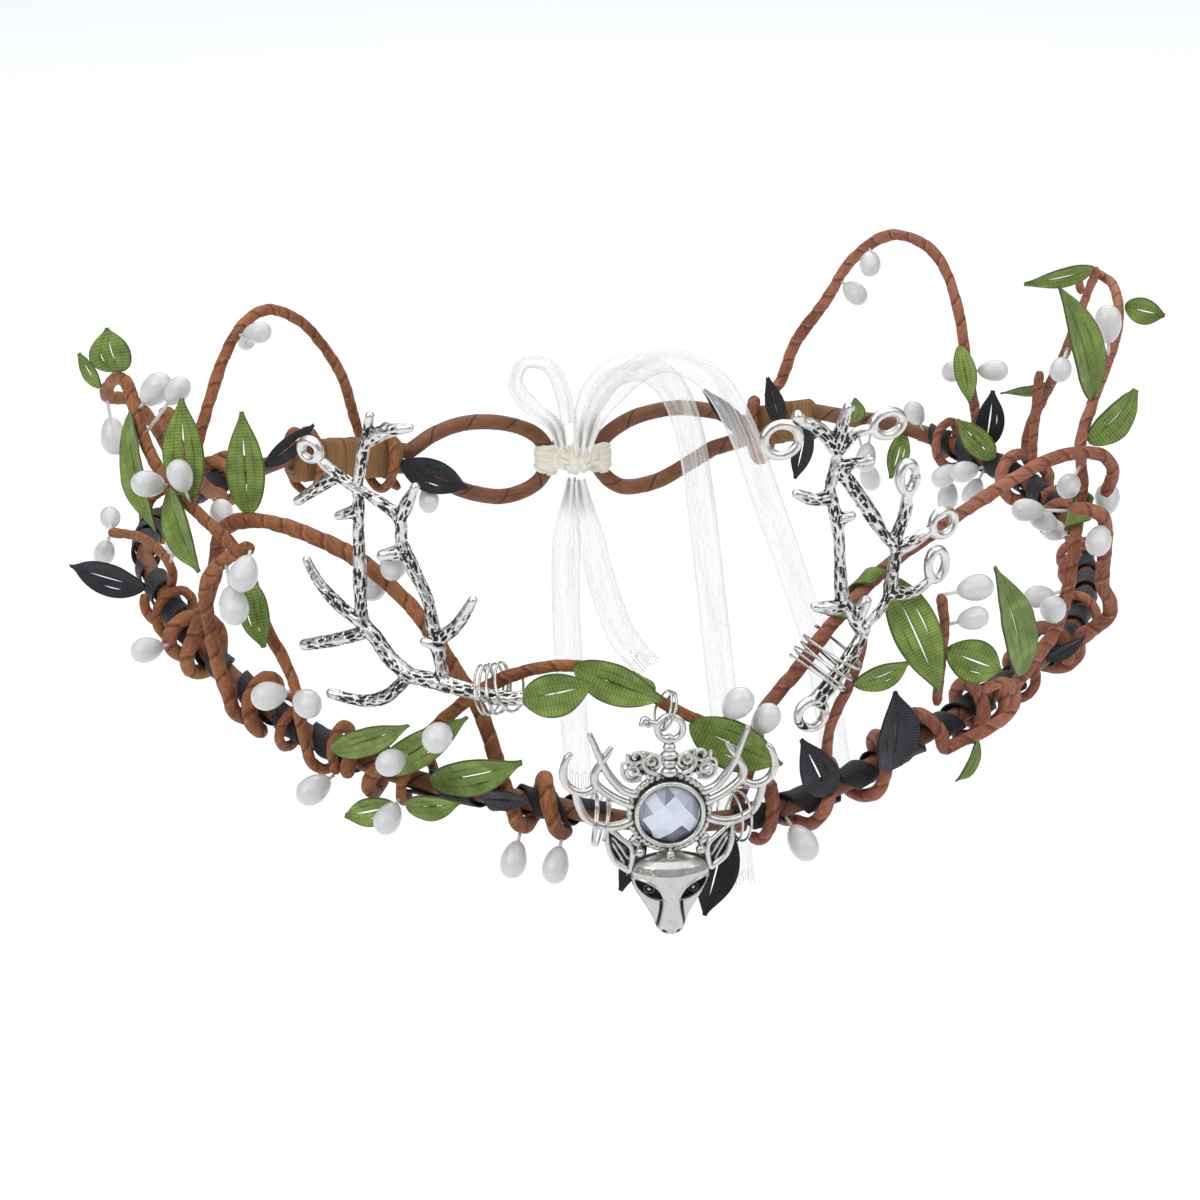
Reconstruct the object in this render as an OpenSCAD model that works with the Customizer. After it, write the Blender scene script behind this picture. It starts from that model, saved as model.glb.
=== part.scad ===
// Woodland crown: a cane hoop with twine vines, cloth leaves, white pips, two cast silver branches
// and a deer's head pendant, tied at the back with organza ribbon.
// Millimetres. The origin is the centre of the hoop, +Z is up, -Y is the front and +X its right side.
// A row's angle runs round the head: 0 at the front centre, 90 at +X, 180 at the back, -90 at -X.
// A row's out is the distance outside the hoop's centre line, and its height is the world's Z.

/* [Hoop] */
// Radius of the hoop's centre line, seen from above
hoop_r = 87.5; // [86:0.5:89]
// Diameter of the cane
cane_d = 3.2; // [2.8:0.1:3.2]
// Height of the hoop's centre line every 15 degrees, from the back centre round by the left
hoop_heights = [-17, -15, -10, -6, -3.5, -2, 0, 0, -4.5, -11, -15.5, -17.5,
    -21.5, -20, -13.5, -10, -9, -8.5, -6.5, -4, -3.5, -2.5, -6, -13.5]; // [-30:0.5:10]

/* [Vines] */
// Diameter of a twine vine
vine_d = 2.6; // [2.2:0.1:2.7]
// Diameter of a thin twine twig
twig_d = 1.8; // [1.4:0.1:2]
// Distance from the hoop's centre line to a vine that is wrapped round it
wrap_r = 4.3; // [4.3:0.1:4.5]

/* [Cloth] */
// Thickness of the wound ribbon
ribbon_t = 0.6; // [0.4:0.1:0.6]
// Width of the wound ribbon along the hoop
ribbon_w = 5.4; // [4:0.2:5.6]
// Width of the green ribbon along a vine
vine_ribbon_w = 3.6; // [3:0.2:4]
// Thickness of the brown tape round a binding
tape_t = 0.8; // [0.5:0.1:1]
// Thickness of a cloth leaf
leaf_t = 1; // [0.8:0.1:1.2]
// Width of the organza ribbon
tie_w = 6; // [5:0.5:7]
// Thickness of the organza ribbon, as gathered folds
tie_t = 1; // [0.8:0.1:1.2]

/* [Metal] */
// Radius of a cast limb at its root
limb_r = 1.25; // [1:0.05:1.3]
// Radius of a cast limb at its tip
tip_r = 0.85; // [0.7:0.05:1]
// Diameter of the lashing wire
wire_d = 0.6; // [0.5:0.1:0.7]
// Radius of the stone's setting
bezel_r = 6.1; // [5.9:0.1:6.3]
// Diameter of the stone
stone_d = 10; // [9.6:0.1:10]

/* [Hidden] */
// Clearance between a piece and what carries it
gap = 0.3;
cane_r = cane_d / 2;
vine_r = vine_d / 2;
twig_r = twig_d / 2;
ribbon_in = cane_r + gap + 0.1;
ribbon_out = ribbon_in + ribbon_t;
// Where a stem or leaf meets the wound ribbon, whose flats lie a little inside its corners
on_ribbon = ribbon_out - 0.15;

cane_brown = [0.42, 0.22, 0.12];
twine_brown = [0.55, 0.31, 0.18];
tape_brown = [0.48, 0.3, 0.14];
leaf_green = [0.42, 0.52, 0.24];
ribbon_black = [0.12, 0.12, 0.14];
pip_white = [0.93, 0.93, 0.91];
silver = [0.72, 0.72, 0.72];
organza = [0.95, 0.94, 0.9];
glass_blue = [0.8, 0.86, 0.9];

// A number or row on the smooth curve through four neighbours, t of the way from b to c
function cubic(a, b, c, d, t) =
    0.5 * (2 * b + (c - a) * t + (2 * a - 5 * b + 4 * c - d) * t * t + (3 * b - a - 3 * c + d) * t * t * t);

// The hoop's height at an angle
function height_at(angle) =
    let (n = len(hoop_heights), s = (angle + 180) * n / 360, i = floor(s))
    let (h = [for (k = [i - 1 : i + 2]) hoop_heights[(k % n + n) % n]])
    cubic(h[0], h[1], h[2], h[3], s - i);

// The point of a row [angle, out, height]
function at(row) = [(hoop_r + row[1]) * sin(row[0]), -(hoop_r + row[1]) * cos(row[0]), row[2]];

// The direction away from the head's middle at an angle
function outward(angle) = [sin(angle), -cos(angle), 0];

function unit(v) = v / norm(v);

// The part of v square to t, as a unit vector
function square_to(v, t) = unit(v - (v * t) * t);

// Rows on a smooth curve through a table's rows, about step apart
function smooth(rows, step) =
    let (last = len(rows) - 1)
    concat([for (i = [0 : last - 1])
        let (n = max(1, ceil(norm(at(rows[i + 1]) - at(rows[i])) / step)))
        for (k = [0 : n - 1])
            cubic(rows[max(i - 1, 0)], rows[i], rows[i + 1], rows[min(i + 2, last)], k / n)],
        [rows[last]]);

// The points of a table's rows, joined smoothly
function route(rows, step = 8) = [for (row = smooth(rows, step)) at(row)];

// One of the two runs of cane under a binding: side is 1 for the upper, -1 for the lower, 0 for the middle
function bound_run(angles, side) = [for (a = angles) at([a, 0, height_at(a) + side * run_offset])];

// Flattens a circle's sine or cosine towards a long rounded shape
function rounded(x) = sign(x) * pow(abs(x), 0.7);

// The hoop's own centre line between two angles
function hoop_arc(from, to, step = 5) =
    let (n = ceil(abs(to - from) / step))
    [for (i = [0 : n]) let (a = from + (to - from) * i / n) at([a, 0, height_at(a)])];

// Rows of a helix round the hoop. A turn of 0 is outside the hoop, 90 above, 180 inside and 270 below.
function wrap(from, to, start, turns, r = wrap_r, tall = 0) =
    let (n = ceil(abs(turns) * 8))
    [for (i = [0 : n])
        let (a = from + (to - from) * i / n, turn = start + turns * 360 * i / n)
        [a, r * cos(turn), height_at(a) + (r + tall) * sin(turn)]];

function tangents(path) =
    let (last = len(path) - 1)
    [for (i = [0 : last]) unit(path[min(i + 1, last)] - path[max(i - 1, 0)])];

// Side vectors carried along a path without twisting
function normals(t, first) =
    [for (i = 0, n = square_to(first, t[0]); i < len(t);
        n = i + 1 < len(t) ? square_to(n, t[i + 1]) : n, i = i + 1) n];

function first_normal(t) = abs(t[2]) < 0.8 ? [0, 0, 1] : [1, 0.2, 0];

// The nearest point of a path to a place
function nearest(path, p) =
    let (d = [for (q = path) norm(q - p)], least = min(d))
    [for (i = [0 : len(path) - 1]) if (d[i] == least) path[i]][0];

// Where a stem that points at p leaves a carrier of radius r
function seat(path, p, r) = let (q = nearest(path, p)) q + unit(p - q) * (r + gap);

// Where a leaf leaves its carrier: half its thickness further out if it lies along the carrier
function leaf_seat(path, p, tip, r) =
    let (q = nearest(path, p), away = unit(p - q), along = unit(tip - q))
    seat(path, p, r + leaf_t / 2 * norm(cross(along, away)));

// A closed skin over rings of equally many points
module skin(rings) {
    n = len(rings[0]);
    last = len(rings) - 1;
    polyhedron(
        points = [for (ring = rings) each ring],
        faces = concat(
            [for (k = [1 : n - 2]) [0, k, k + 1]],
            [for (i = [0 : last - 1]) for (k = [0 : n - 1])
                let (a = i * n + k, b = i * n + (k + 1) % n)
                each [[a, a + n, b + n], [a, b + n, b]]],
            [for (k = [1 : n - 2]) [last * n, last * n + k + 1, last * n + k]]));
}

// A round bar along a path, from radius r to radius r_end
module tube(path, r, r_end, sides = 5) {
    t = tangents(path);
    n = normals(t, first_normal(t[0]));
    last = len(path) - 1;
    skin([for (i = [0 : last])
        let (b = cross(t[i], n[i]), ri = r + (r_end - r) * i / last)
        [for (k = [0 : sides - 1])
            path[i] + ri * (cos(k * 360 / sides) * n[i] + sin(k * 360 / sides) * b)]]);
}

module vine(rows, r = vine_r, r_end = vine_r * 0.7) { color(twine_brown) tube(route(rows), r, r_end); }

module twig(rows) { color(twine_brown) tube(route(rows), twig_r, twig_r, 4); }

// A flat ribbon wound round a carrier's path, from radius r_in to r_out
module winding(path, start, turns, width, r_in, r_out, tint) {
    t = tangents(path);
    n = normals(t, first_normal(t[0]));
    last = len(path) - 1;
    step = norm(path[1] - path[0]);
    half = width / 2 / step;
    rings = ceil(turns * 6);
    color(tint)
        skin([for (k = [0 : rings])
            let (mid = half + (last - 2 * half) * k / rings, turn = start + turns * 360 * k / rings)
            [for (corner = [[-half, r_in], [half, r_in], [half, r_out], [-half, r_out]])
                on_carrier(path, t, n, mid + corner[0], corner[1], turn)]]);
}

// A point at radius r and a turn round a path's own line, s steps along it
function on_carrier(path, t, n, s, r, turn) =
    let (i = min(floor(s), len(path) - 2), f = s - i)
    let (p = path[i] * (1 - f) + path[i + 1] * f)
    let (along = unit(t[i] * (1 - f) + t[i + 1] * f))
    let (side = square_to(n[i] * (1 - f) + n[i + 1] * f, along))
    p + r * (cos(turn) * side + sin(turn) * cross(along, side));

// A cloth leaf from its foot to its tip: pointed at both ends, creased along the midrib
module leaf(foot, tip, width, rise, face) {
    steps = 3;
    across = unit(cross(tip - foot, face));
    mids = [for (i = [0 : steps])
        let (f = i / steps) foot * (1 - f) + tip * f + face * rise * 4 * f * (1 - f)];
    t = tangents(mids);
    skin([for (i = [0 : steps])
        let (f = i / steps, half = 0.4 + (width / 2 - 0.4) * pow(sin(180 * pow(f, 0.85)), 0.8))
        let (side = square_to(across, t[i]), up = cross(side, t[i]), h = leaf_t / 2, lift = half * 0.25)
        let (right = mids[i] + side * half + up * lift, left = mids[i] - side * half + up * lift)
        [mids[i] + up * h, right + up * h, right - up * h, mids[i] - up * h, left - up * h, left + up * h]]);
}

// Leaves on one carrier. Columns: foot's angle, out, height; tip's angle, out, height; width; rise; the
// angle that the leaf faces
module leaves(path, r, rows, tint) {
    color(tint)
        for (row = rows)
            let (p = at([row[0], row[1], row[2]]), tip = at([row[3], row[4], row[5]]))
                leaf(leaf_seat(path, p, tip, r), tip, row[6], row[7], outward(row[8]));
}

// A pip's outline from its stem to its top, as shares of its radius. Columns: across, along
pip_profile = [[0.62, 0.35], [0.93, 0.8], [1, 1.25], [0.86, 1.75], [0.5, 2.1], [0, 2.22]];

// A white pip on its stem, from a foot towards the pip's middle
module pip(foot, middle, d) {
    v = middle - foot;
    stem = norm(v) - d * 0.55;
    r = d / 2;
    translate(foot)
        rotate([0, acos(v[2] / norm(v)), atan2(v[1], v[0])])
            rotate_extrude($fn = 24)
                polygon(concat([[0, 0], [0.45, 0], [0.45, stem]],
                    [for (p = pip_profile) [r * p[0], stem + r * p[1]]]));
}

// Pips on one carrier. Columns: angle, out, height of the pip's middle; diameter
module pips(path, r, rows) {
    color(pip_white)
        for (row = rows)
            let (middle = at([row[0], row[1], row[2]]))
                pip(seat(path, middle, r), middle, row[3]);
}

// The eyes at the back. Columns: angle, out, height; from the binding round the eye and back
eye_left = [[-159, 0, -15.4], [-164, 0, -20.8], [-169.6, 0, -23.4], [-174.4, 0, -21.4], [-176.4, 0, -15.8],
    [-174.4, 0, -10], [-169, 0, -6.8], [-163.6, 0, -6.4], [-159.6, 0, -8]];
eye_right = [[160, 0, -5.4], [165.6, 0, -4.9], [171.6, 0, -7.2], [176, 0, -12], [176.7, 0, -18],
    [173.4, 0, -22.6], [168.4, 0, -21.2], [164, 0, -17], [160.6, 0, -13.4]];
// Height of a run above or below the middle of its binding
run_offset = (cane_d + 0.3) / 2;

// The vines. Columns: angle, out, height
back_left = concat(
    wrap(-125.6, -120.4, 150, -1.4),
    [[-119.8, 2.2, 5], [-121.6, 0.6, 13.4], [-125.4, 0.4, 21], [-129.8, 0.4, 25.8], [-134.6, 0.4, 26.6],
        [-139.8, 0.4, 22.4], [-143.6, 0.6, 16], [-146.8, 1, 8], [-149.6, 4, -2]],
    wrap(-150.6, -154.6, 20, -1.3, 4.5, 2.2));
back_right = concat(
    wrap(154.6, 152.4, 100, 1, 4.7, 2.3),
    [[151.6, 2.8, 2], [149.2, 1, 11], [144.8, 1, 21], [141, 1, 30.4], [135.4, 1, 36.8], [129.8, 1, 36.6],
        [126, 1, 32.6], [123.2, 1, 24], [121.4, 1, 13], [120.9, 2.6, 4.6]],
    wrap(121.2, 126, 30, -1.3));
side_left = concat(
    wrap(-103.6, -109.6, -120, 0.75),
    [[-110, -2.6, 3], [-108.4, -0.4, 9], [-105, 1.4, 17], [-99, 2.6, 24], [-92, 5.2, 28.2],
        [-86.6, 5, 32.6],
        [-81, 3.8, 37.2], [-76, 3.2, 38.4], [-72.6, 3.2, 35], [-66, 3.8, 28.8], [-58, 3.6, 24.4],
        [-50.4, 4.4, 21], [-47.4, 4.4, 15.6], [-46, 4, 8.4], [-43.4, 4, 3], [-41.6, 4.3, -2],
        [-41.2, 4.3, -8]],
    wrap(-40.6, -36.8, 10, -1.1));
side_left_twist = [[-118.4, -4.3, -4.4], [-115.6, -4.5, -2.6], [-111.4, -5.8, 0.4], [-107, -6.4, 4.4],
    [-102.4, -5.6, 11], [-99, -4.8, 17], [-96, -4.4, 23.4]];
thick_left = concat(
    [[-44.8, 8, 23.6], [-48.6, 8.2, 20], [-52.2, 7.8, 14], [-52.8, 6.8, 6.4], [-52.6, 5.2, -3.4]],
    wrap(-52.2, -48.2, 10, -1.2));
front_left = concat(
    wrap(-66, -60.5, 190, 1.4),
    [[-59.6, 3.9, -2], [-57.8, 0.4, 10], [-55.6, 0, 20], [-49.6, 0, 24.4], [-42, 0, 24.8], [-34.4, 0, 22],
        [-28, 0, 15], [-23.6, 0, 5.6], [-20.4, 0.2, -2.4], [-17.6, 3.4, -13]],
    wrap(-16.8, -11.2, 20, -1.35));
brow = concat(
    wrap(-35.4, -32.8, -380, 1),
    [[-31.4, 4.6, -13], [-26.2, 4.4, -6], [-21.6, 4, 1], [-16.4, 3.2, 6.4], [-10.2, 3, 8.4], [-4.4, 3, 5.4],
        [0, 3, 0.8], [4.6, 3, -3.4], [10.6, 4, -9.6]]);
front_right = concat(
    [[8.4, -2, -25], [8.4, -4.3, -21.4], [8.8, -3.8, -17.6], [9.8, -0.4, -9], [10.2, 0.4, -3],
        [14.6, 0.4, 4.6], [18.6, 0.4, 11.6], [24.8, 0.4, 19.2], [31, 0.4, 23.2], [39, 0.4, 26.6],
        [47.4, 1, 28.6], [52.6, 3.6, 29.4], [56.4, 6.8, 28.4], [58.8, 8.2, 25.6], [59.6, 8.2, 22.4],
        [59.2, 7, 19.2]]);
riser_right = [[20.8, 3.8, 12.6], [21, 3.4, 9.6], [20.6, 3.6, 6], [19.2, 4.2, 1.4], [17.8, 4.2, -2.6], [16.8, 4.4, -7], [16.7, 4.3, -12.8]];
side_right = concat(
    wrap(36.4, 41.4, 260, 1.35),
    [[43.8, 4.1, -7.4], [48, 4.1, -4.2], [52.4, 3.5, -2], [55.4, 3.2, 3], [58, 2.8, 11.6], [59.8, 2.8, 20],
        [59.8, 2.2, 28], [62.8, 2.6, 33.4], [67.4, 2.8, 36.6], [74, 3.6, 39.4], [79, 4.4, 41],
        [84.6, 4.8, 43.4],
        [88.8, 4.6, 44.4], [91.4, 2, 45.2], [89.2, -1, 45], [86.4, -1.4, 43.6]]);
side_right_twist = concat(
    wrap(105.6, 110.6, 60, -1.1),
    [[111.8, 4.4, 1], [110.8, 4.2, 5.4], [108, 3.6, 11.6], [103, 3.2, 21.6], [98, 2.8, 32], [93, 2.2, 40.6],
        [89.4, 1.8, 45], [87.8, 1.6, 47.4]]);
outer_right = concat(
    [[51.8, 5.8, 20.6], [54, 8.2, 19.4], [56, 9.2, 16.6], [57.4, 8.6, 11], [58.6, 7.8, 3], [60, 8.6, -1],
        [60.4, 7.8, -4.6]],
    wrap(58.8, 54.6, 20, -1.1));
curl_right = concat(
    wrap(28.4, 31.8, 250, -0.75),
    [[33, 4.6, -14], [35.8, 6.6, -12.4], [38.6, 8.6, -9.6], [39, 9, -6], [37, 9, -3.2], [34.4, 8.6, -3.6]]);
wrap_right = concat(
    wrap(9.4, 13, 260, 0.9),
    wrap(14.6, 22, 250, 1, 4.1),
    wrap(22.8, 26.4, 280, 0.8));
thin_right = wrap(45.6, 49.8, 180, 1.1, 3.7);
twig_rows_left = [
    [[-84, 6.2, 6.6], [-80.4, 2.9, 7.8], [-76, 1.8, 9.2], [-71.8, 1, 9.4], [-69.4, 0.2, 7.6],
        [-69.8, -0.4, 4.8],
        [-71, -0.4, 2.6]],
    wrap(-72.6, -67.4, 20, -1.2, 4),
    wrap(-46.8, -43.2, 100, 1.1, 4),
    wrap(-29.8, -26.4, 250, 1.1, 4),
    wrap(-140.4, -138.2, 60, 1.15, 4.3, 2.3)];
twig_rows_right = [
    [[29.8, 5.8, 14.6], [30.6, 5.4, 8.8], [31, 4.2, 3.4], [31, 3.6, -2], [31, 3.2, -6.4]],
    [[104.4, 0, 20], [104.2, -0.6, 13], [104.8, -0.6, 6], [105, -0.2, -1.2]],
    wrap(64.6, 68.4, 200, 1.1, 4),
    wrap(80, 84.6, 100, 1.3, 4),
    wrap(94.4, 98.6, 60, 1.2, 4)];

back_left_path = route(back_left);
back_right_path = route(back_right);
side_left_path = route(side_left);
thick_left_path = route(thick_left);
front_left_path = route(front_left);
brow_path = route(brow);
front_right_path = route(front_right);
side_right_path = route(side_right);
side_right_twist_path = route(side_right_twist);
outer_right_path = route(outer_right);
hoop_left_path = hoop_arc(-134, -8, 1.5);
hoop_front_path = hoop_arc(-16, 16);
// Distance from the middle of a binding to its tape's outside, across the head
bound_r = cane_r + gap + tape_t;
hoop_right_path = hoop_arc(8, 143, 1.5);

module hoop() {
    color(cane_brown)
        tube(concat(bound_run([-138, -144, -150, -156.4], -1), route(eye_left),
            bound_run([-156.4, -150, -144, -138], 1), hoop_arc(-131, 140), bound_run([146, 150, 156.4], 1),
            route(eye_right), bound_run([156.4, 150, 146], -1)), cane_r, cane_r, 6);
}

// Brown tape round the two runs of cane
module binding(path) {
    tall = run_offset + cane_r + gap;
    color(tape_brown)
        difference() {
            oval_bar(path, cane_r + gap + tape_t, tall + tape_t);
            oval_bar(path, cane_r + gap, tall, 1);
        }
}

// A bar of long rounded section, flat against the head
module oval_bar(path, half_out, half_tall, past = 0) {
    t = tangents(path);
    last = len(path) - 1;
    skin([for (i = [0 : last])
        let (side = square_to([0, 0, 1], t[i]), face = cross(side, t[i]))
        let (shift = i == 0 ? -past : (i == last ? past : 0))
        [for (k = [0 : 9])
            path[i] + t[i] * shift + half_tall * rounded(cos(k * 36)) * side
                - half_out * rounded(sin(k * 36)) * face]]);
}

module binding_left() { binding(bound_run([-137, -144, -150, -155], 0)); }
module binding_right() { binding(bound_run([145.4, 150, 155], 0)); }

// Black ribbon on the hoop. Columns: from, to, start turn, turns
module ribbon_on_hoop(rows) {
    for (row = rows)
        winding(hoop_arc(row[0], row[1], 3), row[2], row[3], ribbon_w, ribbon_in, ribbon_out, ribbon_black);
}

module ribbon_black_left() {
    ribbon_on_hoop([[-131, -110, 0, 3.4], [-106, -84, 90, 3.6], [-82, -33, 40, 7.8], [-30, -6, 120, 3.8]]);
}

module ribbon_black_right() {
    ribbon_on_hoop([[7, 51, 0, 7], [53, 86, 40, 5.4], [92, 130, 90, 6.2]]);
}

module vine_back_left() { vine(back_left); }
module vine_back_right() { vine(back_right); }
module vine_side_left() { vine(side_left); }
module vine_side_left_twist() { vine(side_left_twist, vine_r, vine_r * 1.2); }
module vine_thick_left() { vine(thick_left, vine_r * 0.9, vine_r); }
module vine_front_left() { vine(front_left, vine_r, vine_r); }
module vine_brow() { vine(brow); }
module vine_front_right() { vine(front_right, vine_r, vine_r * 0.8); }
module vine_riser_right() { vine(riser_right, twig_r, twig_r); }
module vine_side_right() { vine(side_right, vine_r, vine_r * 0.6); }
module vine_side_right_twist() { vine(side_right_twist, vine_r, vine_r * 0.6); }
module vine_outer_right() { vine(outer_right, vine_r * 0.9, vine_r); }
module vine_curl_right() { vine(curl_right, vine_r, vine_r * 0.7); }
module vine_wrap_right() { vine(wrap_right, vine_r * 0.8, vine_r * 0.9); }
module vine_thin_right() { twig(thin_right); }

module twigs_left() {
    for (rows = twig_rows_left)
        twig(rows);
}

module twigs_right() {
    for (rows = twig_rows_right)
        twig(rows);
}

// Leaf rows, in the columns of the leaves module, for each carrier
leaf_rows_side_left = [
    [-79, 3.6, 40.6, -79.4, 5.2, 47.4, 8, 1, -20],
    [-86, 8, 33.6, -88.4, 9.6, 38.6, 3, 0.4, -20],
    [-75, 6.4, 34.4, -62, 7.4, 19, 6.4, 1.6, -40],
    [-59, 3, 28.6, -60, 2.6, 42.8, 7.2, 1, -15],
    [-60.6, 6.4, 26, -53.6, 7.4, 15.4, 6.6, 0.8, -35],
    [-46, 7, 16.6, -43.8, 7.6, 6, 5.2, 0.6, -20],
    [-36, 6.6, -8, -26.2, 9.6, -1.6, 5.2, 0.6, -14]];
leaf_rows_front_left = [
    [-51, 0.6, 26, -51.6, -0.8, 42.8, 6.4, 1, 0]];
leaf_rows_brow = [
    [-30, 7.4, -12.4, -20.4, 8, 0.4, 6, 0.6, -12],
    [-9.4, 7, 9.6, -1, 7.6, 4, 7, 0.6, 0],
    [1.6, 5.6, -2.4, 10.8, 8.4, -8.8, 8.5, 1, 8]];
leaf_rows_hoop_front = [
    [-28, 4.6, -18.4, -21.6, 6.8, -15.6, 5, 0.6, -5],
    [-29.2, 4.6, -18.4, -35.4, 5, -22.4, 5, 0.6, -20]];
leaf_rows_twig_right = [
    [32, 7, 5.6, 36.4, 9.4, -0.6, 7.4, 0.8, 25]];
leaf_rows_front_right = [
    [25.4, 4, 15, 28.2, 9.2, -1, 8.2, 0.8, 20]];
leaf_rows_side_right = [
    [43.6, 7, -2.6, 35, 9.4, 18.6, 7.6, 1.4, 30],
    [63, 2.6, 38, 57, -1.6, 57.4, 8.6, 1.4, 40],
    [81.6, 7, 44, 80.4, 12.8, 42, 5, 0.4, 10],
    [61.4, 5, 28.4, 65.4, 9.4, 35.8, 7, 1, 30]];
leaf_rows_twist_right = [
    [105.4, 1, 17.4, 113, -0.6, 12, 5, 0.6, 20]];
leaf_rows_twist_top = [
    [86, -2.6, 47.6, 82, -12.6, 47, 4, 0.6, 60]];
leaf_rows_hoop_right = [
    [38.6, 6, -16.6, 31, 8.6, -18.6, 4.6, 0.6, 30]];
leaf_rows_back_right = [
    [121.6, -2, 18, 118.4, -2, 8, 4.4, 0.6, 0]];
leaf_rows_hoop_back = [
    [113.6, -2, -1, 118, -5.8, 5.4, 5.4, 0.8, 0]];

leaf_rows_cane_back = [
    [139.6, -5, -3.4, 137.4, -5.8, 3.6, 5, 0.6, 0],
    [131.6, -4.2, -4.4, 131.4, -5, -12, 4.6, 0.6, 0]];
black_rows_left = [
    [-75, 4, 1, -82.4, 14, 1.8, 6.4, 0.6, -10],
    [-47, 4, -7, -44.4, 6.4, -1.6, 4, 0.5, -30],
    [-20.6, 6, -15.4, -14.4, 8.6, -13.4, 4, 0.4, -5]];
black_rows_front = [
    [4, 1.6, -24.6, 2, 4.6, -36.6, 6, 0.4, 0],
    [-4.4, 1.6, -24, -5.4, 4.6, -31.4, 4, 0.4, 0]];
black_rows_wraps_right = [
    [15.6, 7, -17.4, 13.2, 6.6, -5.6, 6.4, 0.8, 10],
    [24.4, 7, -13.4, 23.4, 7.6, 0.4, 8.6, 0.8, 25]];
black_rows_right = [
    [51.8, 4.4, -7, 55.8, 6.4, -5.4, 3.4, 0.4, 45]];
black_rows_back = [
    [-131.6, -4.4, -2.6, -138, -5.6, 2.4, 4.2, 0.5, 0]];
black_rows_bound_left = [
    [-153.4, -5, -11.4, -163.6, -5.6, -18.6, 7.2, 0.6, 0]];
black_rows_bound_right = [
    [150.4, -5, -6, 151.6, -5.6, 5, 4, 0.5, 0],
    [147.4, -5.4, -5.4, 147, -6.2, -16, 4.4, 0.5, 0]];

module leaves_green_left() {
    leaves(side_left_path, vine_r, leaf_rows_side_left, leaf_green);
    leaves(front_left_path, vine_r, leaf_rows_front_left, leaf_green);
}

module leaves_green_front() {
    leaves(brow_path, vine_r, leaf_rows_brow, leaf_green);
    leaves(hoop_left_path, wrap_r + vine_r, leaf_rows_hoop_front, leaf_green);
    leaves(hoop_left_path, on_ribbon, [[-26, 4, -13.4, -15, 8, -7, 6.6, 1, -5]], leaf_green);
    leaves(branch_left_stem, limb_r + wire_d, [[-15, 9.6, 5, -7.8, 8.8, 7.6, 7.4, 0.6, -8]], leaf_green);
}

module leaves_green_right() {
    leaves(route(twig_rows_right[0]), twig_r, leaf_rows_twig_right, leaf_green);
    leaves(side_right_path, vine_r, leaf_rows_side_right, leaf_green);
    leaves(side_right_twist_path, vine_r, leaf_rows_twist_right, leaf_green);
    leaves(side_right_twist_path, vine_r * 0.6, leaf_rows_twist_top, leaf_green);
    leaves(front_right_path, vine_r, leaf_rows_front_right, leaf_green);
    leaves(side_right_path, vine_r, leaf_rows_hoop_right, leaf_green);
    leaves(route(riser_right), twig_r, [[20.4, 6, 2.2, 24.2, 9.6, 6, 5, 0.6, 22]], leaf_green);
}

module leaves_green_back() {
    leaves(back_right_path, vine_r + 0.2, leaf_rows_back_right, leaf_green);
    leaves(hoop_right_path, on_ribbon, leaf_rows_hoop_back, leaf_green);
    leaves(hoop_right_path, cane_r, leaf_rows_cane_back, leaf_green);
}

module leaves_black_left() { leaves(hoop_left_path, on_ribbon, black_rows_left, ribbon_black); }

module leaves_black_front() {
    leaves(hoop_front_path, cane_r, black_rows_front, ribbon_black);
}

module leaves_black_right() {
    leaves(route(wrap_right), vine_r * 0.9, black_rows_wraps_right, ribbon_black);
    leaves(hoop_right_path, on_ribbon, black_rows_right, ribbon_black);
}

module leaves_black_back() {
    leaves(hoop_left_path, cane_r, black_rows_back, ribbon_black);
    leaves(hoop_right_path, on_ribbon, [[116.8, 0.6, 0, 116.4, 1.2, 10.8, 5.6, 0.6, 0]], ribbon_black);
    leaves(back_right_path, vine_r, [[154, -8, -7, 161, -7, 1.6, 4, 0.5, 0]], ribbon_black);
    leaves(bound_run([-137, -144, -150, -155], 0), bound_r + 0.1, black_rows_bound_left, ribbon_black);
    leaves(bound_run([145.4, 150, 155], 0), bound_r + 0.3, black_rows_bound_right, ribbon_black);
}

// White pips. Columns: angle, out, height of the pip's middle; diameter
module berries_left() {
    pips(side_left_path, vine_r, [[-70.6, 0.4, 39.4, 5.2], [-67, -1.6, 40.4, 4.2], [-88, 4.4, 22.8, 5],
        [-61.4, 8.6, 28, 4.8], [-57.4, 6, 30.6, 4.6], [-42.8, 8.4, -2, 5], [-38.2, 8.4, -1.6, 5],
        [-37.6, 8.6, -17, 5]]);
    pips(route(twig_rows_left[0]), twig_r, [[-88, 6, 7, 4], [-85.4, 7.4, 2, 4], [-66.6, 0.4, 12.8, 4.2]]);
    pips(thick_left_path, vine_r, [[-43.8, 11.6, 20.6, 5], [-45, 12.4, 14.6, 5.2]]);
    pips(front_left_path, vine_r, [[-58.4, -2.6, 21.6, 4.2], [-29.4, 2.6, 23, 4.6],
        [-34, -2.8, 16.4, 4.6]]);
    pips(hoop_left_path, wrap_r + vine_r, [[-63.6, 8.8, -3.6, 4.6]]);
}

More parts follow.
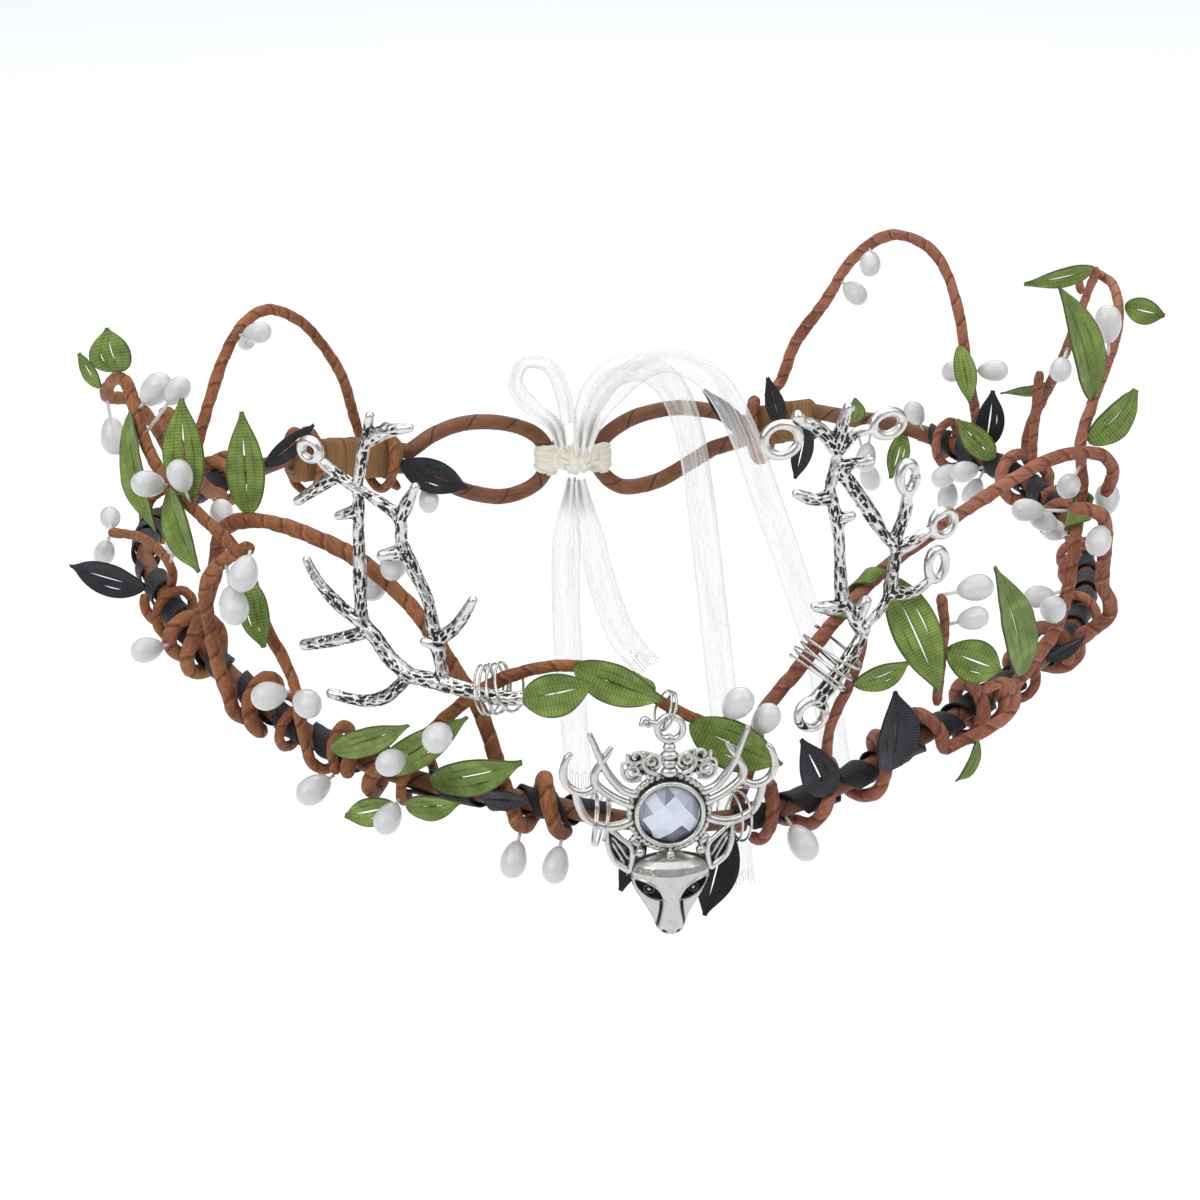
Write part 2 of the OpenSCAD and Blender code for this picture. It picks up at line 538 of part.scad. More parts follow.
module berries_front() {
    pips(hoop_left_path, wrap_r + vine_r, [[-29, 8.6, -19.4, 4.6], [-16.4, 5, -26, 4.6],
        [-12, 5.4, -26.4, 4.6]]);
    pips([at([-22.5, 8.2, -1.6])], leaf_t / 2, [[-22.5, 12.6, -1.6, 5]]);
    pips([at([-27, 7.9, -7.8])], leaf_t / 2, [[-27.4, 12.2, -7.4, 4.6]]);
    pips(brow_path, vine_r, [[6.4, 7, 2.2, 5], [9.4, 6.6, -1.2, 4.6]]);
    pips(hoop_right_path, on_ribbon, [[13.6, 6, -24.6, 5]]);
}

module berries_right() {
    pips(side_right_path, vine_r, [[71, 2.8, 44.6, 5], [54.4, 3.4, 23, 4.2], [49.4, 5, 2.8, 4.8],
        [53, -0.6, 2.4, 4]]);
    pips(side_right_path, on_vine_ribbon, [[56, -5.1, 16.3, 4.2], [58.4, -3.3, 13.5, 4],
        [61, -2.5, 10.5, 4]]);
    pips(side_right_twist_path, vine_r, [[96, -1, 24.4, 4.4]]);
    pips(outer_right_path, vine_r, [[62.6, 6.2, 16.6, 4.6], [53.4, 10, 14.6, 4.6]]);
    pips(route(twig_rows_right[0]), twig_r, [[33.2, 8, 15.2, 4.6], [32.2, 9.4, 10.6, 4]]);
}

module berries_back() {
    pips(back_left_path, vine_r, [[-128.2, -4.4, 25, 4.4], [-132, 3.4, 21, 4]]);
    pips(back_right_path, vine_r, [[136.6, -2.8, 31.6, 4.4], [140, -0.4, 24, 4.4], [124.8, 2.4, 11.2, 4.4],
        [119.4, 5, 13, 4.4], [121, -4, -12.4, 4.4]]);
    pips(hoop_right_path, on_ribbon + 0.1, [[115.2, -6.6, -4.2, 4.4], [119.6, -6.6, -6.8, 4.4],
        [116.6, -2.8, -9.8, 4.2]]);
    pips(hoop_right_path, cane_r, [[127.4, -4.6, 3, 4.4], [136.4, -3.6, -9.4, 4.4],
        [138.4, 2.6, -16, 4.4]]);
    pips(route(eye_left), cane_r, [[-158, -3.6, -20.4, 4.4]]);
}

// Radius of the green ribbon's outside round a vine
on_vine_ribbon = vine_r + gap + ribbon_t;

// Green ribbon on the vines. Columns: first and last share of the vine, start turn, turns
module ribbon_on_vine(path, rows) {
    last = len(path) - 1;
    for (row = rows)
        winding([for (i = [round(row[0] * last) : round(row[1] * last)]) path[i]], row[2], row[3],
            vine_ribbon_w, vine_r + gap, on_vine_ribbon, leaf_green);
}

module ribbon_green_front() {
    ribbon_on_vine(brow_path, [[0.7, 0.8, 0, 1.1]]);
}

module ribbon_green_right() {
    ribbon_on_vine(front_right_path, [[0.37, 0.47, 0, 1.2]]);
    ribbon_on_vine(side_right_path, [[0.5, 0.58, 90, 1.1]]);
}

// The cast branches: limbs as tables of angle, out, height
branch_left_limbs = [
    [[-11.5, 7.2, 4.6], [-17, 7.4, 4], [-20.5, 7.2, 4.8], [-24.5, 7, 5.8], [-27.4, 6.6, 6]],
    [[-23, 7, 5.8], [-23.6, 6.4, 11], [-24.2, 6, 15], [-24.8, 5.6, 19.5], [-26.2, 5.4, 24],
        [-27.4, 5.4, 28.5],
        [-27.6, 5.4, 32.6], [-29.6, 5.4, 35], [-32.4, 5.4, 37], [-34.6, 5.6, 38.8], [-36.4, 6, 41]],
    [[-27.6, 5.4, 32.6], [-25.4, 6, 39.4]],
    [[-27.4, 5.4, 27], [-30, 6.4, 26]],
    [[-23.8, 6.2, 12.4], [-21.4, 6.8, 16], [-19.4, 7.4, 21.4]],
    [[-23.4, 6.6, 12], [-25.4, 7.2, 12.6]],
    [[-26.6, 6.8, 6], [-29, 6.2, 8.4], [-30.6, 5.8, 11.4], [-32, 5.6, 13.6], [-32.4, 5.4, 18],
        [-32.4, 5.2, 23],
        [-32.4, 5.2, 28.4], [-32.2, 5.4, 33.6], [-32.2, 5.4, 37], [-31.6, 5.4, 42], [-31, 5.6, 46],
        [-30.2, 6, 50.6]],
    [[-30.8, 5.5, 45.4], [-28.6, 6, 47.6], [-25.4, 6.6, 49]],
    [[-34.6, 5.6, 38.6], [-39.6, 6.4, 32.6]],
    [[-32.4, 5.4, 33], [-34.8, 6.2, 31.6]],
    [[-32, 5.6, 13.6], [-34.4, 6, 15.8], [-36.8, 6.4, 19.4], [-38.4, 6.8, 24]],
    [[-31.4, 5.6, 12.4], [-35, 6, 10], [-39.6, 6.6, 7.6]],
    [[-27, 6.6, 5.6], [-29.4, 6.4, 1.6], [-32.4, 6.4, 0], [-36.4, 6.8, 0.4]]];
branch_right_limbs = [
    [[14.6, 7, 1], [16.4, 7, 4], [18, 6.8, 7], [19.6, 6.6, 10.4], [20.2, 6.4, 13.4]],
    [[19.6, 6.4, 12.4], [18.6, 6, 15.4], [17.8, 5.6, 18.6], [17.6, 5.4, 24], [17.4, 5.4, 29],
        [16.8, 5.4, 34],
        [16.4, 5.4, 37], [16.8, 5.4, 40], [17.2, 5.4, 43.6]],
    [[17.9, 5.8, 16.4], [15.8, 6.4, 17], [14, 6.8, 17.8]],
    [[19.2, 6.2, 14], [20.4, 7, 18]],
    [[16.6, 5.4, 35.6], [14.4, 5.6, 35.8], [12.2, 6, 37.6]],
    [[17.2, 5.4, 31.6], [19.2, 6, 32.2]],
    [[17.2, 5.4, 43.2], [16, 5.4, 46], [14.4, 5.6, 48.4], [12.6, 5.8, 49.4]],
    [[13, 5.6, 49.2], [12.4, 6.4, 51.2]],
    [[17, 5.4, 44], [17.6, 5.8, 48], [18.2, 6.2, 51.6]],
    [[17.2, 5.4, 43.4], [19, 5.6, 45.8], [20.6, 5.8, 46.4]],
    [[16.9, 5.3, 40.6], [21.2, 6, 41.2]],
    [[17, 5.4, 41], [19.4, 5.4, 35.6], [21.2, 5.4, 31.2], [22.8, 5.4, 27.2], [24, 5.4, 25],
        [23.8, 5.6, 21.6],
        [23.2, 5.8, 17.6], [22.2, 6, 14.8], [20.2, 6.4, 12.6]],
    [[24, 5.4, 26.4], [25, 5.8, 31], [25, 6, 35]],
    [[24, 5.4, 24.4], [26, 5.8, 25.4], [28, 6.1, 26.9]],
    [[23.2, 5.8, 17.4], [26, 6.2, 16.6], [28, 6.6, 18.4]]];
// The curled tips and the foot ring. Columns: middle's angle, out, height; half width; half height
curls_right = [[14.2, 7, -1.2, 2.4, 2.4], [11, 6, 46.6, 3, 2.6], [22.6, 6, 46.8, 2.8, 2],
        [25, 6.2, 37, 1.6, 2.4],
    [29.6, 6.3, 27.6, 2.4, 2.1], [28.6, 6.8, 20.8, 1.8, 2.6]];
curls_left = [[-37.4, 6.2, 42.4, 1.8, 1.6]];

branch_left_stem = route(branch_left_limbs[0]);

// Limbs and curls cast in one piece
module casting(limbs, curls) {
    color(silver)
        resize([0, 0, 0])
            union() {
                for (i = [0 : len(limbs) - 1])
                    tube(route(limbs[i]), i == 0 ? limb_r * 1.1 : limb_r, i == 0 ? limb_r : tip_r);
                for (c = curls)
                    ring_at(c);
            }
}

// A small ring that faces out from the head
module ring_at(c) {
    translate(at([c[0], c[1], c[2]]))
        rotate([90, 0, c[0]])
            scale([1, c[4] / c[3], 1])
                rotate_extrude($fn = 6)
                    translate([c[3], 0])
                        circle(tip_r, $fn = 4);
}

module branch_left() { casting(branch_left_limbs, curls_left); }
module branch_right() { casting(branch_right_limbs, curls_right); }

// Silver wire wound round two things at once, between two rows of angle, out, height.
// half_out and half_side are the winding's half sizes, and tilt turns its long side upwards.
module lashing(from, to, turns, half_out, half_side, tilt = 0) {
    axis = unit(at(to) - at(from));
    face = square_to(outward((from[0] + to[0]) / 2), axis);
    side = cross(axis, face);
    long_way = cos(tilt) * face + sin(tilt) * side;
    short_way = cos(tilt) * side - sin(tilt) * face;
    rings = ceil(turns * 8);
    color(silver)
        tube([for (k = [0 : rings]) let (f = k / rings, a = 180 + turns * 360 * f)
            at(from) * (1 - f) + at(to) * f + half_out * cos(a) * long_way + half_side * sin(a) * short_way],
            wire_d / 2, wire_d / 2, 4);
}

module lashing_left() { lashing([-19.5, 5.3, 4.1], [-15.8, 5.3, 5.4], 3, 5.1, 3.5, 15); }
module lashing_right() { lashing([15.4, 3.7, 4.3], [18.2, 3.7, 9.1], 3, 6, 3.3, 21); }

module lashing_pendant() {
    lashing([-0.9, 6.1, 1.7], [-0.2, 6.1, 1.2], 1.4, 4.8, 3);
    lashing([-8.6, 5.1, -17.8], [-6.8, 5.1, -18.2], 1.6, 10, 4.4, -19);
    lashing([5.8, 5.1, -18.4], [7.2, 5.1, -18.4], 1.3, 10.2, 4.4, -26);
}

// The pendant's own middle is the middle of its stone
pendant_at = [-0.6, 9.4, -15];
// Antler bars of one side. Columns: across, towards the viewer, up; measured from the stone's middle
antler_bars = [
    [[5.6, 0, -1], [11.2, 0, -1.2], [13.6, 0, 0.8], [14.8, 0, 4.6]],
    [[4.8, 0, 3.2], [9.4, 0, 5.4], [10.6, 0, 9.2], [13, 0, 14.4]],
    [[5.4, 0, 1.2], [9, 0, 2.6], [11.8, 0, 4.8], [14.8, 0, 4.6], [17, 0, 7.4], [16.4, 0, 10.8]],
    [[12, 0, 4.6], [10.8, 0, 9.6], [9.4, 0, 11.6]]];

// A place in the pendant's own frame: across, towards the viewer, up
function on_pendant(p) = at(pendant_at) + [p[0], -p[1], p[2]];

module ball(p, r) { translate(on_pendant(p)) sphere(r, $fn = r > 2.4 ? 8 : 6); }

module blend(a, ra, b, rb) { hull() { ball(a, ra); ball(b, rb); } }

module pendant() {
    color(silver)
        resize([0, 0, 0])
            union() {
                setting();
                head();
                for (side = [-1, 1])
                    antler(side);
                bail();
            }
}

// A cup for the stone, with a back plate
module setting() {
    translate(on_pendant([0, 0, 0]))
        rotate([90, 0, 0])
            difference() {
                translate([0, 0, -2])
                    cylinder(h = 3.6, r = bezel_r, $fn = 18);
                translate([0, 0, -1.2])
                    cylinder(h = 4, r = stone_d / 2 + 0.4, $fn = 18);
            }
}

module head() {
    hull() {
        ball([-3.6, 0.4, -9.2], 2.6);
        ball([3.6, 0.4, -9.2], 2.6);
        ball([0, 2, -9.6], 2.8);
        ball([0, 0.6, -14], 3);
    }
    blend([0, 2, -10.4], 2.2, [0, 2.4, -18.6], 1.9);
    blend([0, 1, -13], 3, [0, 1, -19.4], 1.6);
    for (side = [-1, 1]) {
        ball([side * 3.4, 2.2, -12], 1.1);
        blend([side * 5.2, 0, -9.6], 1.2, [side * 7.4, 0.2, -6.6], 1.5);
        blend([side * 7.4, 0.2, -6.6], 1.5, [side * 9.4, 0, -3], 0.5);
        ball([side * 4.8, 1.6, -6.6], 1);
        blend([side * 2.4, 0.2, 7], 1.5, [side * 5, 0.2, 9.2], 1.2);
    }
    blend([0, 0.4, 6.4], 1.4, [0, 0, 11], 1.3);
    blend([0, 1, -6.7], 0.8, [0, 1.4, -8.4], 1.4);
}

module antler(side) {
    for (bar = antler_bars)
        tube([for (p = bar) on_pendant([side * p[0], p[1], p[2]])], 0.85, 0.65, 4);
}

// The bail ring with the little bud on its side
module bail() {
    translate(on_pendant([0.2, 0, 14.8]))
        rotate([90, 0, 0])
            rotate_extrude($fn = 9)
                translate([2.1, 0])
                    circle(0.5, $fn = 4);
    blend([0, 0, 10.4], 1.2, [0, 0, 12.6], 0.8);
    blend([-1.8, 0, 15.6], 0.5, [-3.6, 0, 16.2], 0.8);
}

// The stone's rings from its back to its table. Columns: share of its radius, height
stone_rings = [[0.1, -0.9], [1, 0.6], [1, 1], [0.84, 2], [0.55, 2.8]];

// Round cut glass: 12 facets behind, 24 in front, and a flat table
module stone() {
    color(glass_blue, 0.8)
        translate(on_pendant([0, 0, 0]))
            rotate([90, 0, 0])
                skin([for (ring = stone_rings)
                    let (r = ring[0] * stone_d / 2)
                    [for (k = [0 : 11]) [r * cos(k * 30), r * sin(k * 30), ring[1]]]]);
}

// The organza ribbon: its knot lies between the two eyes
knot = [0, 86.4, -15.6];
// Tails. Columns: across, back, up
tail_rows = [
    [[-1, 84.4, -19.4], [-2, 83.4, -30], [-2.6, 82.8, -42], [-2.4, 82.6, -56], [-1.4, 82.6, -72],
        [-0.6, 82.6, -90]],
    [[0.8, 83.1, -19.4], [2.4, 81.8, -30], [5, 81.2, -42], [9, 81, -54], [14.6, 80.8, -62]],
    [[0.8, 83.1, -13.2], [1, 82, -11], [2.6, 81.4, -3], [7, 81, 3.6], [13.6, 80, 5.6], [19.6, 79.4, 1.6], [23.4, 79, -8],
        [25.6, 78.6, -22], [27.6, 78.4, -40], [29.6, 78.4, -60], [31.6, 78.4, -80], [34.6, 78.4, -113]],
    [[2, 80.4, -12], [5, 79.4, -2.4], [11.4, 77, 5.4], [19, 75, 8.6], [27.6, 72.6, 4.6], [33.6, 70.6, -6],
        [39, 69.4, -22], [45, 69, -40], [50.4, 69, -58], [54.6, 69, -88]]];
bow_rows = [[-2.9, 82.4, -12], [-4.4, 83.2, -7], [-9, 83.2, -3], [-12.4, 83.2, 2], [-10.6, 83.2, 6.6],
    [-5.4, 83.2, 6], [-2.6, 83.2, 0], [-1.4, 83, -7]];

// A flat ribbon that faces the front, along points of across, back, up
module flat_ribbon(points, w) {
    last = len(points) - 1;
    path = [for (i = [0 : last - 1]) for (k = [0 : 1])
        cubic(points[max(i - 1, 0)], points[i], points[i + 1], points[min(i + 2, last)], k / 2),
        points[last]];
    t = tangents(path);
    n = len(path) - 1;
    color(organza, 0.6)
        skin([for (i = [0 : n])
            let (face = square_to([0, -1, 0], t[i]), side = cross(t[i], face))
            let (half = min(w / 2, 1.4 + i * 0.6))
            [path[i] - side * half + face * tie_t / 2, path[i] + side * half + face * tie_t / 2,
                path[i] + side * half - face * tie_t / 2, path[i] - side * half - face * tie_t / 2]]);
}

module tail_left() { flat_ribbon(tail_rows[0], tie_w); }
module tail_centre() { flat_ribbon(tail_rows[1], tie_w); }
module tail_right() { flat_ribbon(tail_rows[2], tie_w); }
module tail_far_right() { flat_ribbon(tail_rows[3], tie_w); }
module tie_bow() { flat_ribbon(bow_rows, 3); }

// The knot and the two hitches, hollow where the eyes' cane runs through them
module tie_knot() {
    left = at([-176.2, 0, -15.6]);
    right = at([176.7, 0, -15.6]);
    color(organza)
        resize([0, 0, 0])
            difference() {
                union() {
                    for (p = [left, right])
                        translate(p - [0, 0, 2.8])
                            cylinder(h = 5.6, r = cane_r + gap + 1, $fn = 10);
                    hull() {
                        translate(left + [1.6, -0.6, 0]) sphere(2, $fn = 6);
                        translate(knot + [0, -0.6, 0]) sphere(3.2, $fn = 8);
                        translate(right + [-1.6, -0.6, 0]) sphere(2, $fn = 6);
                    }
                }
                for (eye = [eye_left, eye_right])
                    tube(route(eye), cane_r + gap, cane_r + gap, 6);
            }
}

hoop();
binding_left();
binding_right();
ribbon_black_left();
ribbon_black_right();
vine_back_left();
vine_back_right();
vine_side_left();
vine_side_left_twist();
vine_thick_left();
vine_front_left();
vine_brow();
vine_front_right();
vine_riser_right();
vine_side_right();
vine_side_right_twist();
vine_outer_right();
vine_curl_right();
vine_wrap_right();
vine_thin_right();
twigs_left();
twigs_right();
ribbon_green_front();
ribbon_green_right();
leaves_green_left();
leaves_green_front();
leaves_green_right();
leaves_green_back();
leaves_black_left();
leaves_black_front();
leaves_black_right();
leaves_black_back();
berries_left();
berries_front();
berries_right();
berries_back();
branch_left();
branch_right();
lashing_left();
lashing_right();
lashing_pendant();
pendant();
stone();
tie_knot();
tie_bow();
tail_left();
tail_centre();
tail_right();
tail_far_right();
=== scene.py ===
import math

import bmesh
import bpy
import numpy as np
from mathutils import Matrix, Vector


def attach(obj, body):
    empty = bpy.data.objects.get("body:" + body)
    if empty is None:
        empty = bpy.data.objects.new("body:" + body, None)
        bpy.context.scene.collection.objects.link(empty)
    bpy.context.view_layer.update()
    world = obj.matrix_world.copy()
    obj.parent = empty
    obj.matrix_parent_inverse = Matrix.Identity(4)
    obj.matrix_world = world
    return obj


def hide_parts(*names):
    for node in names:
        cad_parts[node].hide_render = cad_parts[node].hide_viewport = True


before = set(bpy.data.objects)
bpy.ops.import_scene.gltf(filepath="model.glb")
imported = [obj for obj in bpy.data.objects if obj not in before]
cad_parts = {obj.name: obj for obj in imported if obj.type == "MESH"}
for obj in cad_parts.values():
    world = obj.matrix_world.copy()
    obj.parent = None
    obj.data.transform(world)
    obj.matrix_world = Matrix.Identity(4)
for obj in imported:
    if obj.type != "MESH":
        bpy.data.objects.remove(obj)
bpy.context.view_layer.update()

# Camera, floor and light.
# A long lens a little above the hoop, as the photograph has it, in front and slightly to the left.
# The floor is plain and pale, well under the tails, and the light is soft from all sides.
CAMERA_TURN, CAMERA_RISE, CAMERA_ROLL = (math.radians(a) for a in (-5.3, 21.0, -0.7))
CAMERA_DISTANCE, CAMERA_LENS = 0.680, 108.1
CAMERA_TARGET = Vector((-0.003, 0.0, -0.0147))
FLOOR_HEIGHT, FLOOR_SIDE, FLOOR_BACK = -0.150, 6, 9
SKY_LOW, SKY_HIGH, SKY_COLOUR = 0.10, 1.75, (0.97, 0.985, 1, 1)

back = Vector((math.sin(CAMERA_TURN) * math.cos(CAMERA_RISE),
               -math.cos(CAMERA_TURN) * math.cos(CAMERA_RISE), math.sin(CAMERA_RISE)))
flat_right = Vector((math.cos(CAMERA_TURN), math.sin(CAMERA_TURN), 0))
rise = back.cross(flat_right)
right = flat_right * math.cos(CAMERA_ROLL) + rise * math.sin(CAMERA_ROLL)
upward = rise * math.cos(CAMERA_ROLL) - flat_right * math.sin(CAMERA_ROLL)
camera = bpy.data.objects.new("camera", bpy.data.cameras.new("camera"))
camera.data.lens = CAMERA_LENS
camera.data.clip_start = 0.01
camera.matrix_world = Matrix.Translation(CAMERA_TARGET + back * CAMERA_DISTANCE) @ Matrix(
    (right, upward, back)).transposed().to_4x4()
bpy.context.scene.collection.objects.link(camera)
bpy.context.scene.camera = camera

# name: place, width, watts
LAMPS = {
    "lamp_left": ((-0.75, -0.65, 0.75), 0.8, 4.5),
    "lamp_right": ((0.8, -0.5, 0.6), 0.8, 2.2),
    "lamp_back": ((0.1, 0.9, 0.8), 0.9, 3.0),
}
for name, (place, width, watts) in LAMPS.items():
    lamp = bpy.data.objects.new(name, bpy.data.lights.new(name, "AREA"))
    lamp.data.size, lamp.data.energy = width, watts
    lamp.location = place
    lamp.rotation_euler = (-Vector(place)).to_track_quat("-Z", "Y").to_euler()
    bpy.context.scene.collection.objects.link(lamp)

# The sky brightens with the square of each direction's height
world = bpy.data.worlds.new("studio")
world.use_nodes = True
nodes, links = world.node_tree.nodes, world.node_tree.links
direction, upright, squared, brightness = (
    nodes.new("ShaderNode" + kind) for kind in ("TexCoord", "SeparateXYZ", "Math", "MapRange"))
squared.operation, squared.inputs[1].default_value, squared.use_clamp = "POWER", 2.0, True
brightness.inputs["To Min"].default_value, brightness.inputs["To Max"].default_value = SKY_LOW, SKY_HIGH
links.new(direction.outputs["Generated"], upright.inputs[0])
links.new(upright.outputs["Z"], squared.inputs[0])
links.new(squared.outputs[0], brightness.inputs["Value"])
links.new(brightness.outputs[0], nodes["Background"].inputs["Strength"])
nodes["Background"].inputs["Color"].default_value = SKY_COLOUR
bpy.context.scene.world = world
bpy.context.scene.view_settings.view_transform = "Standard"

floor_mesh = bpy.data.meshes.new("floor")
floor_mesh.from_pydata([(-FLOOR_SIDE, -FLOOR_SIDE, FLOOR_HEIGHT), (FLOOR_SIDE, -FLOOR_SIDE, FLOOR_HEIGHT),
                        (FLOOR_SIDE, FLOOR_BACK, FLOOR_HEIGHT), (-FLOOR_SIDE, FLOOR_BACK, FLOOR_HEIGHT)],
                       [], [(0, 1, 2, 3)])
floor = bpy.data.objects.new("floor", floor_mesh)
bpy.context.scene.collection.objects.link(floor)


# Hoop.
# A ring of cane in brown paper, 175 mm across, open at the back. Each end is bent round to an eye
# and laid back on itself, and the paper is wound on with its edges showing. All sizes are in mm.
HOOP_R, CANE_R = 87.5, 1.6
CANE_SIDES, CANE_PITCH, CANE_STEP = 18, 9, 0.55
RUN_OFFSET = 1.75
ROUTE_STEP = 8.0
HOOP_HEIGHTS = np.array([-17, -15, -10, -6, -3.5, -2, 0, 0, -4.5, -11, -15.5, -17.5,
                         -21.5, -20, -13.5, -10, -9, -8.5, -6.5, -4, -3.5, -2.5, -6, -13.5])
eye_left = [[-159, 0, -15.4], [-164, 0, -20.8], [-169.6, 0, -23.4], [-174.4, 0, -21.4], [-176.4, 0, -15.8],
    [-174.4, 0, -10], [-169, 0, -6.8], [-163.6, 0, -6.4], [-159.6, 0, -8]]
eye_right = [[160, 0, -5.4], [165.6, 0, -4.9], [171.6, 0, -7.2], [176, 0, -12], [176.7, 0, -18],
    [173.4, 0, -22.6], [168.4, 0, -21.2], [164, 0, -17], [160.6, 0, -13.4]]


def cubic(a, b, c, d, t):
    """The smooth curve through four neighbours, t of the way from b to c: the Catmull-Rom cubic."""
    return 0.5 * (2 * b + (c - a) * t + (2 * a - 5 * b + 4 * c - d) * t ** 2
                  + (3 * b - a - 3 * c + d) * t ** 3)


def curve(rows, leg, t):
    """The smooth curve through rows, t of the way along each of these legs."""
    ends = np.vstack([rows[:1], rows, rows[-1:]])
    return cubic(ends[leg], ends[leg + 1], ends[leg + 2], ends[leg + 3], t[:, None])


def smooth_line(rows, parts):
    """The smooth curve through rows, with each leg cut in parts, and each point's place among the rows."""
    place = np.linspace(0, len(rows) - 1, parts * (len(rows) - 1) + 1)
    leg = np.minimum(place.astype(int), len(rows) - 2)
    return curve(np.asarray(rows, float), leg, place - leg), place


def height_at(angle):
    """The hoop's height: the smooth curve through its heights, which stand at equal angles from the back."""
    place = (np.asarray(angle, float) + 180) * len(HOOP_HEIGHTS) / 360
    step = np.floor(place).astype(int)
    near = [HOOP_HEIGHTS[(step + k) % len(HOOP_HEIGHTS)] for k in (-1, 0, 1, 2)]
    return cubic(*near, place - step)


def at(rows):
    """Rows of angle, out and height as points: the hoop's radius plus out, turned by the angle from the
    front."""
    rows = np.asarray(rows, float)
    turn, reach = np.radians(rows[..., 0]), HOOP_R + rows[..., 1]
    return np.stack([reach * np.sin(turn), -reach * np.cos(turn), rows[..., 2]], -1)


def route(rows, finer=12):
    """The smooth curve through a table's rows of angle, out and height: each leg is cut into steps of about
    ROUTE_STEP, and each step into finer."""
    rows = np.asarray(rows, float)
    legs = np.ceil(np.linalg.norm(np.diff(at(rows), axis=0), axis=1) / ROUTE_STEP).astype(int).clip(1) * finer
    leg = np.repeat(np.arange(len(legs)), legs)
    t = (np.arange(len(leg)) - np.repeat(np.cumsum(legs) - legs, legs)) / legs[leg]
    return at(np.vstack([curve(rows, leg, t), rows[-1:]]))


def level(angle, up=0.0):
    """The hoop's own centre line at these angles, raised by up."""
    return at(np.stack([angle, 0 * angle, height_at(angle) + up], -1))


def hoop_arc(start, end, step=5.0, finer=1):
    """The hoop's own centre line between two angles, in steps of about step degrees, each cut into finer."""
    return level(np.linspace(start, end, int(np.ceil(abs(end - start) / step)) * finer + 1))


def bound_run(start, end, side):
    """One of the two runs of cane under a binding: side is 1 for the upper run, -1 for the lower, 0 for their
    middle. Its points lie 0.4 degrees apart."""
    return level(np.linspace(start, end, int(abs(end - start) / 0.4) + 2), side * RUN_OFFSET)


def unit(v):
    """The vectors at length 1."""
    return v / np.linalg.norm(v, axis=-1, keepdims=True)


def square_to(v, along):
    """The part of v that is square to along, as a unit vector."""
    return unit(v - (v * along).sum(-1, keepdims=True) * along)


def tangents(path):
    """The direction at each point: from the last point to the next one."""
    return unit(np.vstack([path[1:2] - path[:1], path[2:] - path[:-2], path[-1:] - path[-2:-1]]))


def frames(path):
    """Along, side and across at each point of a path. The side starts level with up and is carried on
    untwisted: at each ring it is the last ring's side, made square to the path."""
    along = tangents(path)
    side = np.empty_like(along)
    last = np.array([0, 0, 1.0]) if abs(along[0, 2]) < 0.8 else np.array([1, 0.2, 0])
    for ring, direction in enumerate(along):
        side[ring] = last = square_to(last, direction)
    return along, side, np.cross(along, side)


def lengths(path):
    """The distance along the path at each of its points."""
    return np.concatenate([[0], np.cumsum(np.linalg.norm(np.diff(path, axis=0), axis=1))])


def even(path, step):
    """The path again, with points about step apart."""
    along = lengths(path)
    at_step = np.linspace(0, along[-1], max(2, int(round(along[-1] / step)) + 1))
    return np.stack([np.interp(at_step, along, path[:, k]) for k in range(3)], -1)


def draws(cell, seed, count):
    """Random numbers from 0 to 1 for each whole place, count of them, from its three numbers and the seed:
    large primes mix them, and each draw mixes the last one again."""
    number = (cell * (73856093, 19349663, 83492791)).sum(-1) + seed * 2654435
    drawn = []
    for _ in range(count):
        number = (number ^ (number >> 13)) * 1274126177 & 0x7FFFFFFF
        number = number ^ (number >> 15)
        drawn.append(number % 65521 / 65521)
    return np.stack(drawn, -1)


def noise(x, y=0.0, z=0.0, seed=0):
    """Smooth noise from 0 to 1: a random number at each whole place, blended between its eight neighbours."""
    places = np.stack(np.broadcast_arrays(x, y, z), -1)
    cell = np.floor(places).astype(np.int64)
    part = places - cell
    part = part * part * (3 - 2 * part)
    total = 0
    for corner in np.ndindex(2, 2, 2):
        total = total + draws(cell + corner, seed, 1)[..., 0] * np.where(corner, part, 1 - part).prod(-1)
    return total


def grid(rows, across, around=False):
    """The faces of a grid of rows by across points, and each corner's row and column. Around joins the last
    column to the first."""
    row, column = np.meshgrid(np.arange(rows - 1), np.arange(across - (not around)), indexing="ij")
    rows_at = np.stack([row, row, row + 1, row + 1], -1).reshape(-1, 4)
    columns_at = np.stack([column, column + 1, column + 1, column], -1).reshape(-1, 4)
    return rows_at * across + columns_at % across, rows_at, columns_at


def tube(rings, sides):
    """The faces of a closed tube of rings: its wall, and a fan to each end's middle, which are the last two
    points. With them come each wall corner's ring and its place round it."""
    quads, rows_at, columns_at = grid(rings, sides, True)
    here, ahead, count = np.arange(sides), (np.arange(sides) + 1) % sides, rings * sides
    start = np.stack([here, np.full(sides, count), ahead], -1)
    end = np.stack([count - sides + ahead, np.full(sides, count + 1), count - sides + here], -1)
    return [quads, start, end], rows_at, columns_at


